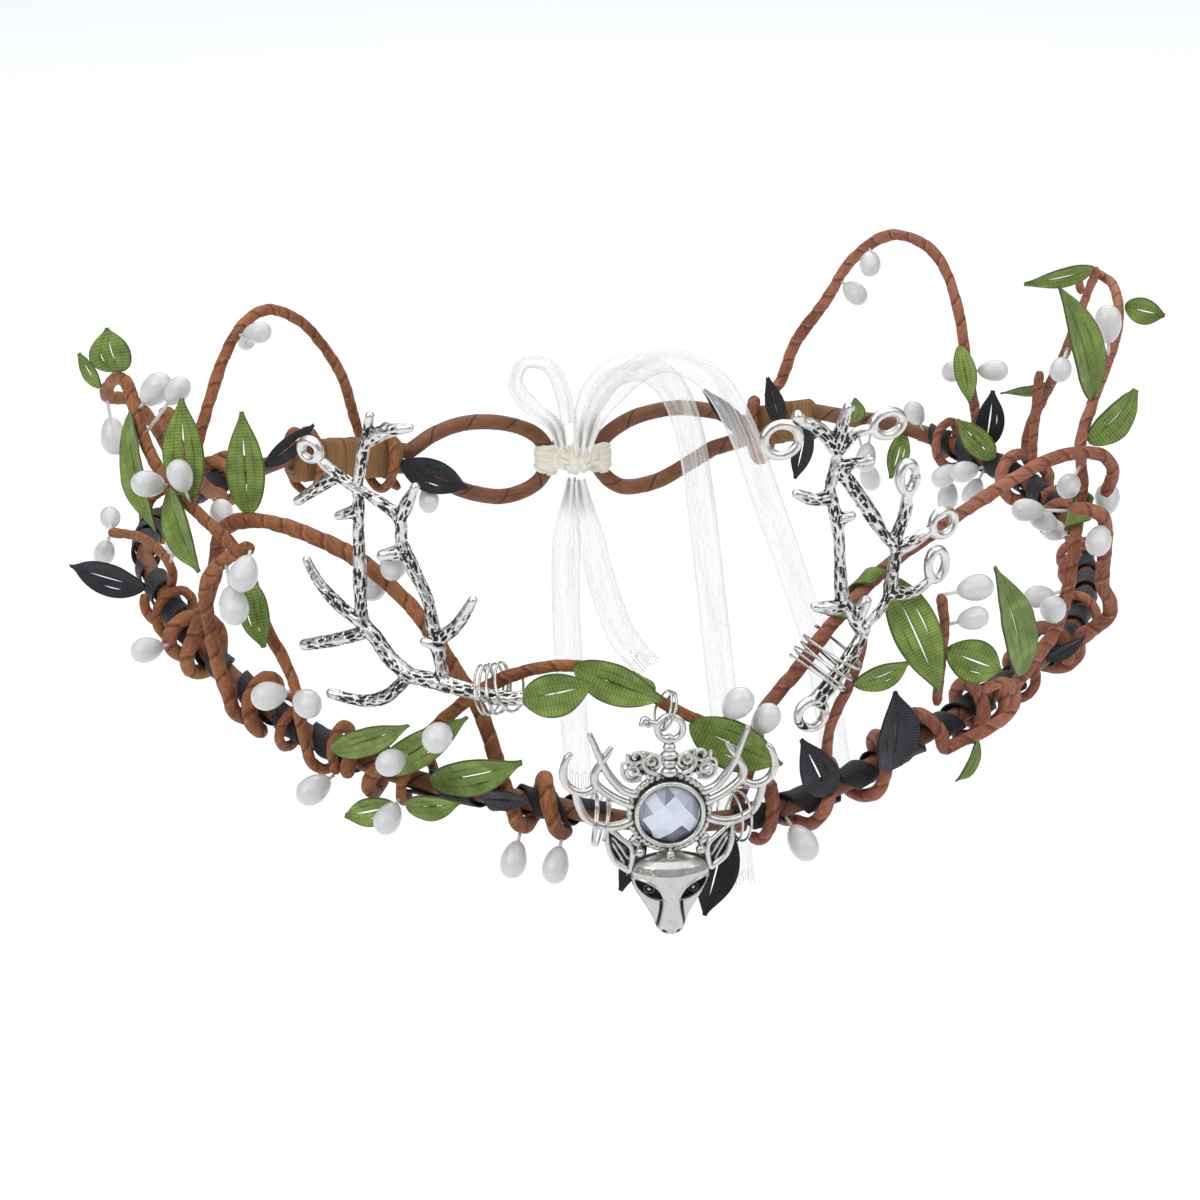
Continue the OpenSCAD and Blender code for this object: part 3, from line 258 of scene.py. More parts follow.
def bar(path, radius, sides=14, **marks):
    """A closed round bar. Each point is the path's point plus the radius times the cosine of its turn along
    the side and the sine across; a point in the middle closes each end. Its UV is the length in mm and the
    turn."""
    _, side, across = frames(path)
    turn = np.arange(sides) * 2 * np.pi / sides
    ring = np.cos(turn)[None, :, None] * side[:, None] + np.sin(turn)[None, :, None] * across[:, None]
    radius = np.asarray(radius, float)
    radius = np.broadcast_to(radius if radius.ndim == 2 else radius.reshape(-1, 1), (len(path), sides))
    wall = (path[:, None] + radius[..., None] * ring).reshape(-1, 3)
    faces, rows_at, columns_at = tube(len(path), sides)
    far = lengths(path)
    cap = (np.arange(sides)[:, None] + (0, 0.5, 1)) / sides
    return {"points": np.vstack([wall, path[:1], path[-1:]]), "faces": faces,
            "uv": [np.stack([far[rows_at], columns_at / sides], -1), np.stack([0 * cap, cap], -1),
                   np.stack([0 * cap + far[-1], cap[:, ::-1]], -1)],
            **{name: np.concatenate([np.broadcast_to(value, (len(path), sides)).ravel(), [0, 0]])
               for name, value in marks.items()}}


def mesh_of(name, parts, material, smooth=True):
    """One mesh of several parts, in metres: their points, faces, UVs and marks put end to end."""
    mesh = bpy.data.meshes.new(name)
    starts = np.cumsum([0] + [len(part["points"]) for part in parts])
    faces = [run + start for part, start in zip(parts, starts) for run in part["faces"]]
    mesh.from_pydata(np.vstack([part["points"] for part in parts]) / 1000, [],
                     [face for run in faces for face in run.tolist()])
    uv = mesh.uv_layers.new(name="along")
    uv.data.foreach_set("uv", np.concatenate([run.ravel() for part in parts for run in part["uv"]]))
    for mark in sorted(parts[0].keys() - {"points", "faces", "uv"}):
        layer = mesh.attributes.new(mark, "FLOAT", "POINT")
        layer.data.foreach_set("value", np.concatenate([part[mark] for part in parts]).astype(np.float32))
    mesh.polygons.foreach_set("use_smooth", np.full(len(mesh.polygons), smooth))
    mesh.materials.append(material)
    return mesh


def placed(name, mesh, node):
    """An object of this mesh. It rides on the frame and stands for the CAD's node, which it hides."""
    made = bpy.data.objects.new(name, mesh)
    bpy.context.scene.collection.objects.link(made)
    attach(made, "root")
    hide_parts(node)
    return made


def piece(name, parts, material, node, smooth=True):
    """One object of several parts."""
    return placed(name, mesh_of(name, parts, material, smooth), node)


class Wire:
    """A socket in a material's tree. An expression on wires and numbers adds its Math nodes."""

    def __init__(self, tree, socket=None):
        self.tree, self.socket = tree, socket

    def add(self, kind, settings=None, inputs=None, out=0):
        """A node of this kind: its settings are made first, then its sockets get their values or links."""
        node = self.tree.nodes.new("ShaderNode" + kind)
        for key, value in (settings or {}).items():
            setattr(node, key, value)
        for key, value in (inputs or {}).items():
            if isinstance(value, Wire):
                self.tree.links.new(value.socket, node.inputs[key])
            else:
                node.inputs[key].default_value = value
        return Wire(self.tree, node.outputs[out])

    def other(self, out):
        """Another output of the same node."""
        return Wire(self.tree, self.socket.node.outputs[out])

    def mark(self, name):
        """A mark that the mesh holds at its points."""
        return self.add("Attribute", {"attribute_name": name}, out=2)

    def beside(self, other):
        """A flat place for noise, with this along and the other across."""
        return self.add("CombineXYZ", {}, {0: self, 1: other})

    def maths(self, operation, *others):
        """A Math node on this and the others."""
        return self.add("Math", {"operation": operation}, dict(enumerate((self, *others))))

    def __add__(self, other):
        return self.maths("ADD", other)

    __radd__ = __add__

    def __mul__(self, other):
        return self.maths("MULTIPLY", other)

    def __sub__(self, other):
        return self.maths("SUBTRACT", other)

    def __rsub__(self, other):
        return (self * -1) + other

    def step(self, low, high):
        """Rises smoothly from 0 at low to 1 at high."""
        return self.add("MapRange", {"interpolation_type": "SMOOTHSTEP"},
                        {"Value": self, "From Min": low, "From Max": high})

    def mix(self, first, second):
        """The first colour where this is 0 and the second where it is 1. Each is a wire or three shares."""
        first, second = (c if isinstance(c, Wire) else (*c, 1) for c in (first, second))
        return self.add("Mix", {"data_type": "RGBA"}, {0: self, 6: first, 7: second}, out=2)

    def noise(self, scale, detail, rough=0.55):
        """Noise at this place."""
        return self.add("TexNoise", {}, {"Vector": self, "Scale": scale, "Detail": detail,
                                         "Roughness": rough})

    def bump(self, distance, strength):
        """A normal from this as a height, where 1 stands for the distance in metres."""
        return self.add("Bump", {}, {"Height": self, "Distance": distance, "Strength": strength})


def finish_of(name, **constants):
    """A material with one shader and its constant sockets set. Returns it with the shader, the wire of an
    object's own places in metres, and the wires of its UV: the length in mm and the turn."""
    material = bpy.data.materials.new(name)
    material.use_nodes = True
    shader = material.node_tree.nodes["Principled BSDF"]
    for socket, value in constants.items():
        shader.inputs[socket.replace("_", " ")].default_value = value
    start = Wire(material.node_tree)
    along = start.add("SeparateXYZ", {}, {0: start.add("UVMap", {"uv_map": "along"})})
    return material, shader, start.add("TexCoord", out=3), along, along.other(1)


def feed(shader, **wires):
    """Links the wires to the shader's sockets."""
    for socket, wire in wires.items():
        wire.tree.links.new(wire.socket, shader.inputs[socket.replace("_", " ")])


def paper_cane(name, dark, light):
    """Brown paper wound on cane: fine grain along the cane, a darker seam where each turn's edge lies, and a
    satin shine."""
    material, shader, place, along, turn = finish_of(name, Specular_IOR_Level=0.4)
    seam = (along * (1 / CANE_PITCH) + turn).maths("FRACT")
    edge = seam.step(0.0, 0.05) * (1 - seam.step(0.93, 1.0))
    grain = (along * 0.12).beside(turn * 9.0).noise(2.6, 5.0, 0.65)
    blotch = place.noise(240.0, 2.0)
    shade = (grain * 0.7 + blotch * 0.5).step(0.3, 0.95)
    colour = (1 - edge).mix(shade.mix(dark, light), [c * 0.45 for c in dark])
    feed(shader, Base_Color=colour, Roughness=0.36 + grain * 0.3,
         Normal=(grain * 0.5 + edge * 0.35).bump(0.00025, 0.8))
    return material


cane_line = even(np.vstack([
    bound_run(-138, -156.4, -1), route(eye_left), bound_run(-156.4, -138, 1), hoop_arc(-131, 140, 1.0),
    bound_run(146, 156.4, 1), route(eye_right), bound_run(156.4, 146, -1)]), CANE_STEP)
cane_far = lengths(cane_line)[:, None]
cane_seam = (cane_far / CANE_PITCH + np.arange(CANE_SIDES) / CANE_SIDES) % 1
cane_radius = CANE_R * (0.95 + 0.09 * noise(cane_far / 7, seed=3) + 0.05 * (1 - cane_seam))
piece("hoop_cane", [bar(cane_line, cane_radius, CANE_SIDES)],
      paper_cane("cane_paper", (0.10, 0.034, 0.013), (0.27, 0.105, 0.045)), "hoop")


# Bindings.
# Brown paper tape, wound where each end of the cane is laid back on itself. It is crinkled, and its
# turns overlap a little.
TAPE_OUT, TAPE_TALL = 2.55, 4.35
TAPE_SIDES, TAPE_STEP, TAPE_PITCH, TAPE_SLANT = 36, 0.35, 5.2, 0.7


def paper_tape(name):
    """Crinkled tape: stretch lines across the hoop, a darker edge at each turn and a dull, waxy face."""
    material, shader, _, along, turn = finish_of(name, Specular_IOR_Level=0.3)
    seam = (along * (1 / TAPE_PITCH) + turn * TAPE_SLANT).maths("FRACT")
    edge = 1 - seam.step(0.0, 0.06)
    crinkle = (along * 3.2).beside(turn * 2.0).noise(1.4, 4.0, 0.7)
    face = crinkle.step(0.3, 0.75).mix((0.16, 0.075, 0.025), (0.36, 0.19, 0.075))
    feed(shader, Base_Color=edge.mix(face, (0.1, 0.045, 0.02)), Roughness=0.5 + crinkle * 0.3,
         Normal=(crinkle * 0.6 - edge * 0.4).bump(0.0003, 0.8))
    return material


def tape_sleeve(path):
    """A long rounded sleeve about a path. Across the head it is narrow and upwards it is tall: the cosine and
    sine of the turn, each to the power 0.7, and each wound turn stands a little out of the last."""
    path = even(path, TAPE_STEP)
    along = tangents(path)
    up = square_to(np.array([0, 0, 1.0]), along)
    face = np.cross(along, up)
    turn = np.arange(TAPE_SIDES) * 2 * np.pi / TAPE_SIDES
    far = lengths(path)
    step = 1 - 0.05 * ((far[:, None] / TAPE_PITCH + TAPE_SLANT * turn / (2 * np.pi)) % 1)
    rim = 0.3 + 0.7 * np.sqrt(np.clip(np.minimum(far, far[-1] - far) / 1.4, 0.02, 1))[:, None]
    tall, narrow = (half * step * np.sign(wave) * np.abs(wave) ** 0.7 * rim
                    for half, wave in ((TAPE_TALL, np.cos(turn)), (TAPE_OUT, np.sin(turn))))
    wall = path[:, None] + tall[..., None] * up[:, None] - narrow[..., None] * face[:, None]
    faces, rows_at, columns_at = tube(len(path), TAPE_SIDES)
    uv = np.stack([far[rows_at], columns_at / TAPE_SIDES], -1)
    return {"points": np.vstack([wall.reshape(-1, 3), path[:1], path[-1:]]),
            "faces": [run[:, ::-1] for run in faces],
            "uv": [uv[:, ::-1], np.zeros((TAPE_SIDES, 3, 2)), np.zeros((TAPE_SIDES, 3, 2))]}


tape = paper_tape("tape_paper")
for side, start, end in (("left", -137, -155), ("right", 145.4, 155)):
    node = "binding_" + side
    piece(node + "_tape", [tape_sleeve(bound_run(start, end, 0))], tape, node)


# Vines.
# Paper twine, 2.6 mm thick: a strip of brown paper twisted round a core, so its edges run round it in a
# screw. Each vine is wound round the hoop at its foot and bent by hand into its arch.
VINE_R, TWIG_R, WRAP_R = 1.3, 0.9, 4.3
TWINE_SIDES, TWINE_STEP, VINE_PITCH, TWIG_PITCH = 14, 0.5, 4.4, 3.2


def wrap(start, end, first, turns, r=WRAP_R, tall=0.0):
    """Rows of a screw line round the hoop: out is r times the cosine of the turn, and the height adds its
    sine."""
    count = math.ceil(abs(turns) * 8)
    share = np.arange(count + 1) / count
    angle, turn = start + (end - start) * share, np.radians(first + turns * 360 * share)
    return np.stack([angle, r * np.cos(turn), height_at(angle) + (r + tall) * np.sin(turn)], -1)


def concat(*runs):
    """Runs of rows as one table."""
    return np.vstack(runs)


back_left = concat(wrap(-125.6, -120.4, 150, -1.4), [[-119.8, 2.2, 5], [-121.6, 0.6, 13.4],
    [-125.4, 0.4, 21], [-129.8, 0.4, 25.8], [-134.6, 0.4, 26.6], [-139.8, 0.4, 22.4], [-143.6, 0.6, 16],
    [-146.8, 1, 8], [-149.6, 4, -2]], wrap(-150.6, -154.6, 20, -1.3, 4.5, 2.2))
back_right = concat(wrap(154.6, 152.4, 100, 1, 4.7, 2.3), [[151.6, 2.8, 2], [149.2, 1, 11], [144.8, 1, 21],
    [141, 1, 30.4], [135.4, 1, 36.8], [129.8, 1, 36.6], [126, 1, 32.6], [123.2, 1, 24], [121.4, 1, 13],
    [120.9, 2.6, 4.6]], wrap(121.2, 126, 30, -1.3))
side_left = concat(wrap(-103.6, -109.6, -120, 0.75), [[-110, -2.6, 3], [-108.4, -0.4, 9], [-105, 1.4, 17],
    [-99, 2.6, 24], [-92, 5.2, 28.2], [-86.6, 5, 32.6], [-81, 3.8, 37.2], [-76, 3.2, 38.4], [-72.6, 3.2, 35],
    [-66, 3.8, 28.8], [-58, 3.6, 24.4], [-50.4, 4.4, 21], [-47.4, 4.4, 15.6], [-46, 4, 8.4], [-43.4, 4, 3],
    [-41.6, 4.3, -2], [-41.2, 4.3, -8]], wrap(-40.6, -36.8, 10, -1.1))
side_left_twist = [[-118.4, -4.3, -4.4], [-115.6, -4.5, -2.6], [-111.4, -5.8, 0.4], [-107, -6.4, 4.4],
    [-102.4, -5.6, 11], [-99, -4.8, 17], [-96, -4.4, 23.4]]
thick_left = concat([[-44.8, 8, 23.6], [-48.6, 8.2, 20], [-52.2, 7.8, 14], [-52.8, 6.8, 6.4],
    [-52.6, 5.2, -3.4]], wrap(-52.2, -48.2, 10, -1.2))
front_left = concat(wrap(-66, -60.5, 190, 1.4), [[-59.6, 3.9, -2], [-57.8, 0.4, 10], [-55.6, 0, 20],
    [-49.6, 0, 24.4], [-42, 0, 24.8], [-34.4, 0, 22], [-28, 0, 15], [-23.6, 0, 5.6], [-20.4, 0.2, -2.4],
    [-17.6, 3.4, -13]], wrap(-16.8, -11.2, 20, -1.35))
brow = concat(wrap(-35.4, -32.8, -380, 1), [[-31.4, 4.6, -13], [-26.2, 4.4, -6], [-21.6, 4, 1],
    [-16.4, 3.2, 6.4], [-10.2, 3, 8.4], [-4.4, 3, 5.4], [0, 3, 0.8], [4.6, 3, -3.4], [10.6, 4, -9.6]])
front_right = concat([[8.4, -2, -25], [8.4, -4.3, -21.4], [8.8, -3.8, -17.6], [9.8, -0.4, -9],
    [10.2, 0.4, -3], [14.6, 0.4, 4.6], [18.6, 0.4, 11.6], [24.8, 0.4, 19.2], [31, 0.4, 23.2],
    [39, 0.4, 26.6], [47.4, 1, 28.6], [52.6, 3.6, 29.4], [56.4, 6.8, 28.4], [58.8, 8.2, 25.6],
    [59.6, 8.2, 22.4], [59.2, 7, 19.2]])
riser_right = [[20.8, 3.8, 12.6], [21, 3.4, 9.6], [20.6, 3.6, 6], [19.2, 4.2, 1.4], [17.8, 4.2, -2.6],
    [16.8, 4.4, -7], [16.7, 4.3, -12.8]]
side_right = concat(wrap(36.4, 41.4, 260, 1.35), [[43.8, 4.1, -7.4], [48, 4.1, -4.2], [52.4, 3.5, -2],
    [55.4, 3.2, 3], [58, 2.8, 11.6], [59.8, 2.8, 20], [59.8, 2.2, 28], [62.8, 2.6, 33.4], [67.4, 2.8, 36.6],
    [74, 3.6, 39.4], [79, 4.4, 41], [84.6, 4.8, 43.4], [88.8, 4.6, 44.4], [91.4, 2, 45.2], [89.2, -1, 45],
    [86.4, -1.4, 43.6]])
side_right_twist = concat(wrap(105.6, 110.6, 60, -1.1), [[111.8, 4.4, 1], [110.8, 4.2, 5.4],
    [108, 3.6, 11.6], [103, 3.2, 21.6], [98, 2.8, 32], [93, 2.2, 40.6], [89.4, 1.8, 45], [87.8, 1.6, 47.4]])
outer_right = concat([[51.8, 5.8, 20.6], [54, 8.2, 19.4], [56, 9.2, 16.6], [57.4, 8.6, 11], [58.6, 7.8, 3],
    [60, 8.6, -1], [60.4, 7.8, -4.6]], wrap(58.8, 54.6, 20, -1.1))
curl_right = concat(wrap(28.4, 31.8, 250, -0.75), [[33, 4.6, -14], [35.8, 6.6, -12.4], [38.6, 8.6, -9.6],
    [39, 9, -6], [37, 9, -3.2], [34.4, 8.6, -3.6]])
wrap_right = concat(wrap(9.4, 13, 260, 0.9), wrap(14.6, 22, 250, 1, 4.1), wrap(22.8, 26.4, 280, 0.8))
thin_right = wrap(45.6, 49.8, 180, 1.1, 3.7)
twig_rows_left = [[[-84, 6.2, 6.6], [-80.4, 2.9, 7.8], [-76, 1.8, 9.2], [-71.8, 1, 9.4], [-69.4, 0.2, 7.6],
    [-69.8, -0.4, 4.8], [-71, -0.4, 2.6]], wrap(-72.6, -67.4, 20, -1.2, 4), wrap(-46.8, -43.2, 100, 1.1, 4),
    wrap(-29.8, -26.4, 250, 1.1, 4), wrap(-140.4, -138.2, 60, 1.15, 4.3, 2.3)]
twig_rows_right = [[[29.8, 5.8, 14.6], [30.6, 5.4, 8.8], [31, 4.2, 3.4], [31, 3.6, -2], [31, 3.2, -6.4]],
    [[104.4, 0, 20], [104.2, -0.6, 13], [104.8, -0.6, 6], [105, -0.2, -1.2]], wrap(64.6, 68.4, 200, 1.1, 4),
    wrap(80, 84.6, 100, 1.3, 4), wrap(94.4, 98.6, 60, 1.2, 4)]


def twine(rows, r, r_end, seed, pitch):
    """A twisted paper bar along a table's rows. Its radius runs from r to r_end, stands out at the free edge
    of the paper and falls towards the next one, and swells and shrinks a little with the noise."""
    line = even(route(rows), TWINE_STEP)
    far = lengths(line)[:, None]
    share = far / far[-1]
    turn = np.arange(TWINE_SIDES) / TWINE_SIDES
    swell = noise(far / 5, seed=seed)
    dent = noise(far / 1.6, np.cos(turn * 2 * np.pi) * 1.2, np.sin(turn * 2 * np.pi) * 1.2, seed + 50)
    seam = (far / pitch - turn + seed * 0.37) % 1
    radius = (r + (r_end - r) * share) * (0.87 + 0.17 * swell + 0.12 * (1 - seam) + 0.12 * (dent - 0.5))
    blunt = np.minimum(1, 0.62 + 0.5 * np.minimum(far, far[-1] - far))
    return bar(line, radius * blunt, TWINE_SIDES, seam=seam)


def paper_twine(name, dark, light, rim_highlight):
    """Twisted paper: a painted highlight on the free edge of each turn and painted shade where it tucks
    under, with fine wrinkles along the twist and slow changes of brown along the vine."""
    material, shader, place, along, turn = finish_of(name, Specular_IOR_Level=0.3)
    seam = along.mark("seam")
    tuck_shade, rim = seam.step(0.72, 0.98), 1 - seam.step(0.02, 0.16)
    wrinkle = (along * 0.5 + turn * 5.0).beside(turn * 14.0 - along * 0.8).noise(1.0, 4.0, 0.7)
    blotch = place.noise(90.0, 3.0, 0.6)
    shade = (wrinkle * 0.65 + blotch * 0.55).step(0.38, 0.85)
    # Painted highlight on each turn's raised free edge, and painted shade where the paper tucks under the
    # next turn
    colour = (rim * 0.7).mix(tuck_shade.mix(shade.mix(dark, light), [c * 0.85 for c in dark]), rim_highlight)
    feed(shader, Base_Color=colour, Roughness=0.48 + wrinkle * 0.32,
         Normal=(wrinkle * 0.7 + rim * 0.4 - tuck_shade * 0.5).bump(0.00022, 0.9))
    return material


# The last colour of each twine is the painted highlight on the free edges
twine_left = paper_twine("twine_orange_brown", (0.13, 0.04, 0.013), (0.42, 0.165, 0.065), (0.46, 0.2, 0.09))
twine_right = paper_twine("twine_red_brown", (0.17, 0.05, 0.028), (0.47, 0.19, 0.115), (0.5, 0.23, 0.15))

# node: rows, radius at the start, radius at the end, finish
VINES = {
    "vine_back_left": (back_left, VINE_R, VINE_R * 0.7, twine_left),
    "vine_back_right": (back_right, VINE_R, VINE_R * 0.7, twine_right),
    "vine_side_left": (side_left, VINE_R, VINE_R * 0.7, twine_left),
    "vine_side_left_twist": (side_left_twist, VINE_R, VINE_R * 1.2, twine_left),
    "vine_thick_left": (thick_left, VINE_R * 0.9, VINE_R, twine_left),
    "vine_front_left": (front_left, VINE_R, VINE_R, twine_left),
    "vine_brow": (brow, VINE_R, VINE_R * 0.7, twine_left),
    "vine_front_right": (front_right, VINE_R, VINE_R * 0.8, twine_right),
    "vine_riser_right": (riser_right, TWIG_R, TWIG_R, twine_right),
    "vine_side_right": (side_right, VINE_R, VINE_R * 0.6, twine_right),
    "vine_side_right_twist": (side_right_twist, VINE_R, VINE_R * 0.6, twine_right),
    "vine_outer_right": (outer_right, VINE_R * 0.9, VINE_R, twine_right),
    "vine_curl_right": (curl_right, VINE_R, VINE_R * 0.7, twine_right),
    "vine_wrap_right": (wrap_right, VINE_R * 0.8, VINE_R * 0.9, twine_right),
    "vine_thin_right": (thin_right, TWIG_R, TWIG_R, twine_right),
}
for number, (node, (rows, r, r_end, finish)) in enumerate(VINES.items()):
    piece(node + "_twine", [twine(rows, r, r_end, number + 1, VINE_PITCH)], finish, node)
for side, all_rows, finish in (("left", twig_rows_left, twine_left), ("right", twig_rows_right, twine_right)):
    twigs = [twine(rows, TWIG_R, TWIG_R, 40 + k, TWIG_PITCH) for k, rows in enumerate(all_rows)]
    piece("twigs_" + side + "_twine", twigs, finish, "twigs_" + side)


# Wound ribbons.
# Charcoal satin ribbon wound along the hoop, and short lengths of olive ribbon on three vines. The hoop's
# brown shows between the turns.
RIBBON_IN, RIBBON_OUT, RIBBON_HALF = 2.0, 2.6, 2.7
VINE_RIBBON_IN, VINE_RIBBON_OUT, VINE_RIBBON_HALF = 1.6, 2.2, 1.8
WINDING_STEPS, RIBBON_POINTS, TURN_RINGS = 6, 9, 30
RIB_PITCH, THREAD_PITCH = 0.55, 0.4


def winding(path, first, turns, r_in, r_out, half_wide, seed):
    """A ribbon wound on a path. Each point lies on the path at its own length, at a radius and a turn: the
    length goes from end to end while the turn goes round, and the ribbon's edges lie half its width to either
    side."""
    _, side, across = frames(path)
    last, half = (len(path) - 1) / WINDING_STEPS, half_wide / np.linalg.norm(path[WINDING_STEPS] - path[0])
    share = np.linspace(0, 1, int(turns * TURN_RINGS) + 1)[:, None]
    over = np.linspace(-1, 1, RIBBON_POINTS)[None, :]
    shift = (noise(share * turns * 1.3, seed=seed) - 0.5) * 0.5
    far = (half + (last - 2 * half) * share + half * (over + shift)) * WINDING_STEPS
    far = np.clip(far, 0, len(path) - 1.001)
    turn = np.radians(first + turns * 360 * share)
    lower = far.astype(int)
    part = (far - lower)[..., None]
    pick = lambda values: values[lower] * (1 - part) + values[lower + 1] * part
    pucker = noise(share * turns * 7, over * 2.2, seed=seed + 9)
    radius = (r_in + 0.1 + (r_out - r_in) * (0.5 * pucker + 0.3 * over ** 2))[..., None]
    out = np.cos(turn)[..., None] * pick(side) + np.sin(turn)[..., None] * pick(across)
    quads, rows_at, columns_at = grid(len(share), RIBBON_POINTS)
    around = share[:, 0] * turns * 2 * np.pi * r_out
    uv = np.stack([around[rows_at], over[0][columns_at] * half_wide], -1)[:, ::-1]
    edge = np.broadcast_to(np.abs(over) ** 6, radius.shape[:2])
    return {"points": (pick(path) + radius * out).reshape(-1, 3), "faces": [quads[:, ::-1]],
            "edge": edge.ravel(), "uv": [uv]}


def woven_cloth(name, dark, light, rim, sheen):
    """Woven satin: ribs across the cloth with a thread's shine between them, worn lighter in blotches, and a
    darker sealed edge."""
    material, shader, place, along, across = finish_of(name, Specular_IOR_Level=0.35, Sheen_Weight=sheen)
    ribs = (along * (2 * math.pi / RIB_PITCH)).maths("SINE") * 0.5 + 0.5
    threads = ((across * (2 * math.pi / THREAD_PITCH) + along * 4.0).maths("SINE") * 0.5 + 0.5) * ribs
    blotch = place.noise(260.0, 3.0, 0.6)
    shade = (ribs * 0.14 + threads * 0.08 + blotch * 0.95).step(0.22, 1.05)
    colour = along.mark("edge").step(0.45, 1.0).mix(shade.mix(dark, light), rim)
    feed(shader, Base_Color=colour, Roughness=0.62 - threads * 0.24,
         Normal=(ribs * 0.5 + threads * 0.5).bump(0.00012, 0.7))
    return material


def cloth_wall(made, thickness=0.00032):
    """Gives a sheet of cloth its thickness in metres, half to each side."""
    wall = made.modifiers.new("wall", "SOLIDIFY")
    wall.thickness, wall.offset = thickness, 0


cloths = {
    "black_cloth": woven_cloth("cloth_charcoal", (0.004, 0.004, 0.006), (0.026, 0.027, 0.035),
                               (0.008, 0.008, 0.010), 0.06),
    "green_cloth": woven_cloth("cloth_olive", (0.085, 0.135, 0.018), (0.32, 0.44, 0.095),
                               (0.06, 0.10, 0.014), 0.08),
}

# side: from, to, first turn, turns
BLACK_RIBBONS = {
    "left": [(-131, -110, 0, 3.4), (-106, -84, 90, 3.6), (-82, -33, 40, 7.8), (-30, -6, 120, 3.8)],
    "right": [(7, 51, 0, 7), (53, 86, 40, 5.4), (92, 130, 90, 6.2)],
}
for side, runs in BLACK_RIBBONS.items():
    node = "ribbon_black_" + side
    wound = [winding(hoop_arc(start, end, 3, WINDING_STEPS), first, turns, RIBBON_IN, RIBBON_OUT,
                     RIBBON_HALF, k) for k, (start, end, first, turns) in enumerate(runs)]
    cloth_wall(piece(node + "_cloth", wound, cloths["black_cloth"], node))


def stretch(rows, first, last):
    """The part of a vine's line between two shares of its steps, with WINDING_STEPS points to a step."""
    line = route(rows, WINDING_STEPS)
    steps = (len(line) - 1) // WINDING_STEPS
    start, end = (math.floor(share * steps + 0.5) * WINDING_STEPS for share in (first, last))
    return line[start:end + 1]


# node: vine, first and last share of it, first turn, turns
GREEN_RIBBONS = {
    "ribbon_green_front": [(brow, 0.7, 0.8, 0, 1.1)],
    "ribbon_green_right": [(front_right, 0.37, 0.47, 0, 1.2), (side_right, 0.5, 0.58, 90, 1.1)],
}
for node, runs in GREEN_RIBBONS.items():
    wound = [winding(stretch(rows, low, high), first, turns, VINE_RIBBON_IN, VINE_RIBBON_OUT,
                     VINE_RIBBON_HALF, 20 + k) for k, (rows, low, high, first, turns) in enumerate(runs)]
    cloth_wall(piece(node + "_cloth", wound, cloths["green_cloth"], node))


# Leaves.
# Small leaves cut from woven cloth, olive or charcoal, pointed at both ends, creased along the middle
# and slit along the midrib and side veins. Their feet are glued to a vine or to the hoop's ribbon.
# The CAD leaf's thickness, and the gap that each foot keeps from its carrier
LEAF_T, GAP = 1.0, 0.3
# How far a foot on the hoop's ribbon lies from the hoop's centre line
ON_RIBBON = 2.45
LEAF_RINGS, BAND_POINTS = 29, 5
# The slits' places across in half widths, from edge to edge, and how far each side is drawn from its slit
SLITS = np.array([-1, -0.48, 0.0, 0.48, 1])
MIDRIB_OPEN, VEIN_OPEN = 0.17, 0.09


def nearest(path, place):
    """The point of a path that is nearest to a place."""
    return path[np.argmin(np.linalg.norm(path - place, axis=1))]


def seat(path, place, r):
    """Where a stem that points at the place leaves its carrier: r and the gap out from the nearest point."""
    foot = nearest(path, place)
    return foot + unit(place - foot) * (r + GAP)


def weld(points):
    """Points within 0.1 micrometre are one: which points stay, and each point's number among those."""
    whole = (points * 1e4).round().astype(np.int64)
    _, kept, same = np.unique(whole, axis=0, return_index=True, return_inverse=True)
    return kept, same.reshape(-1)


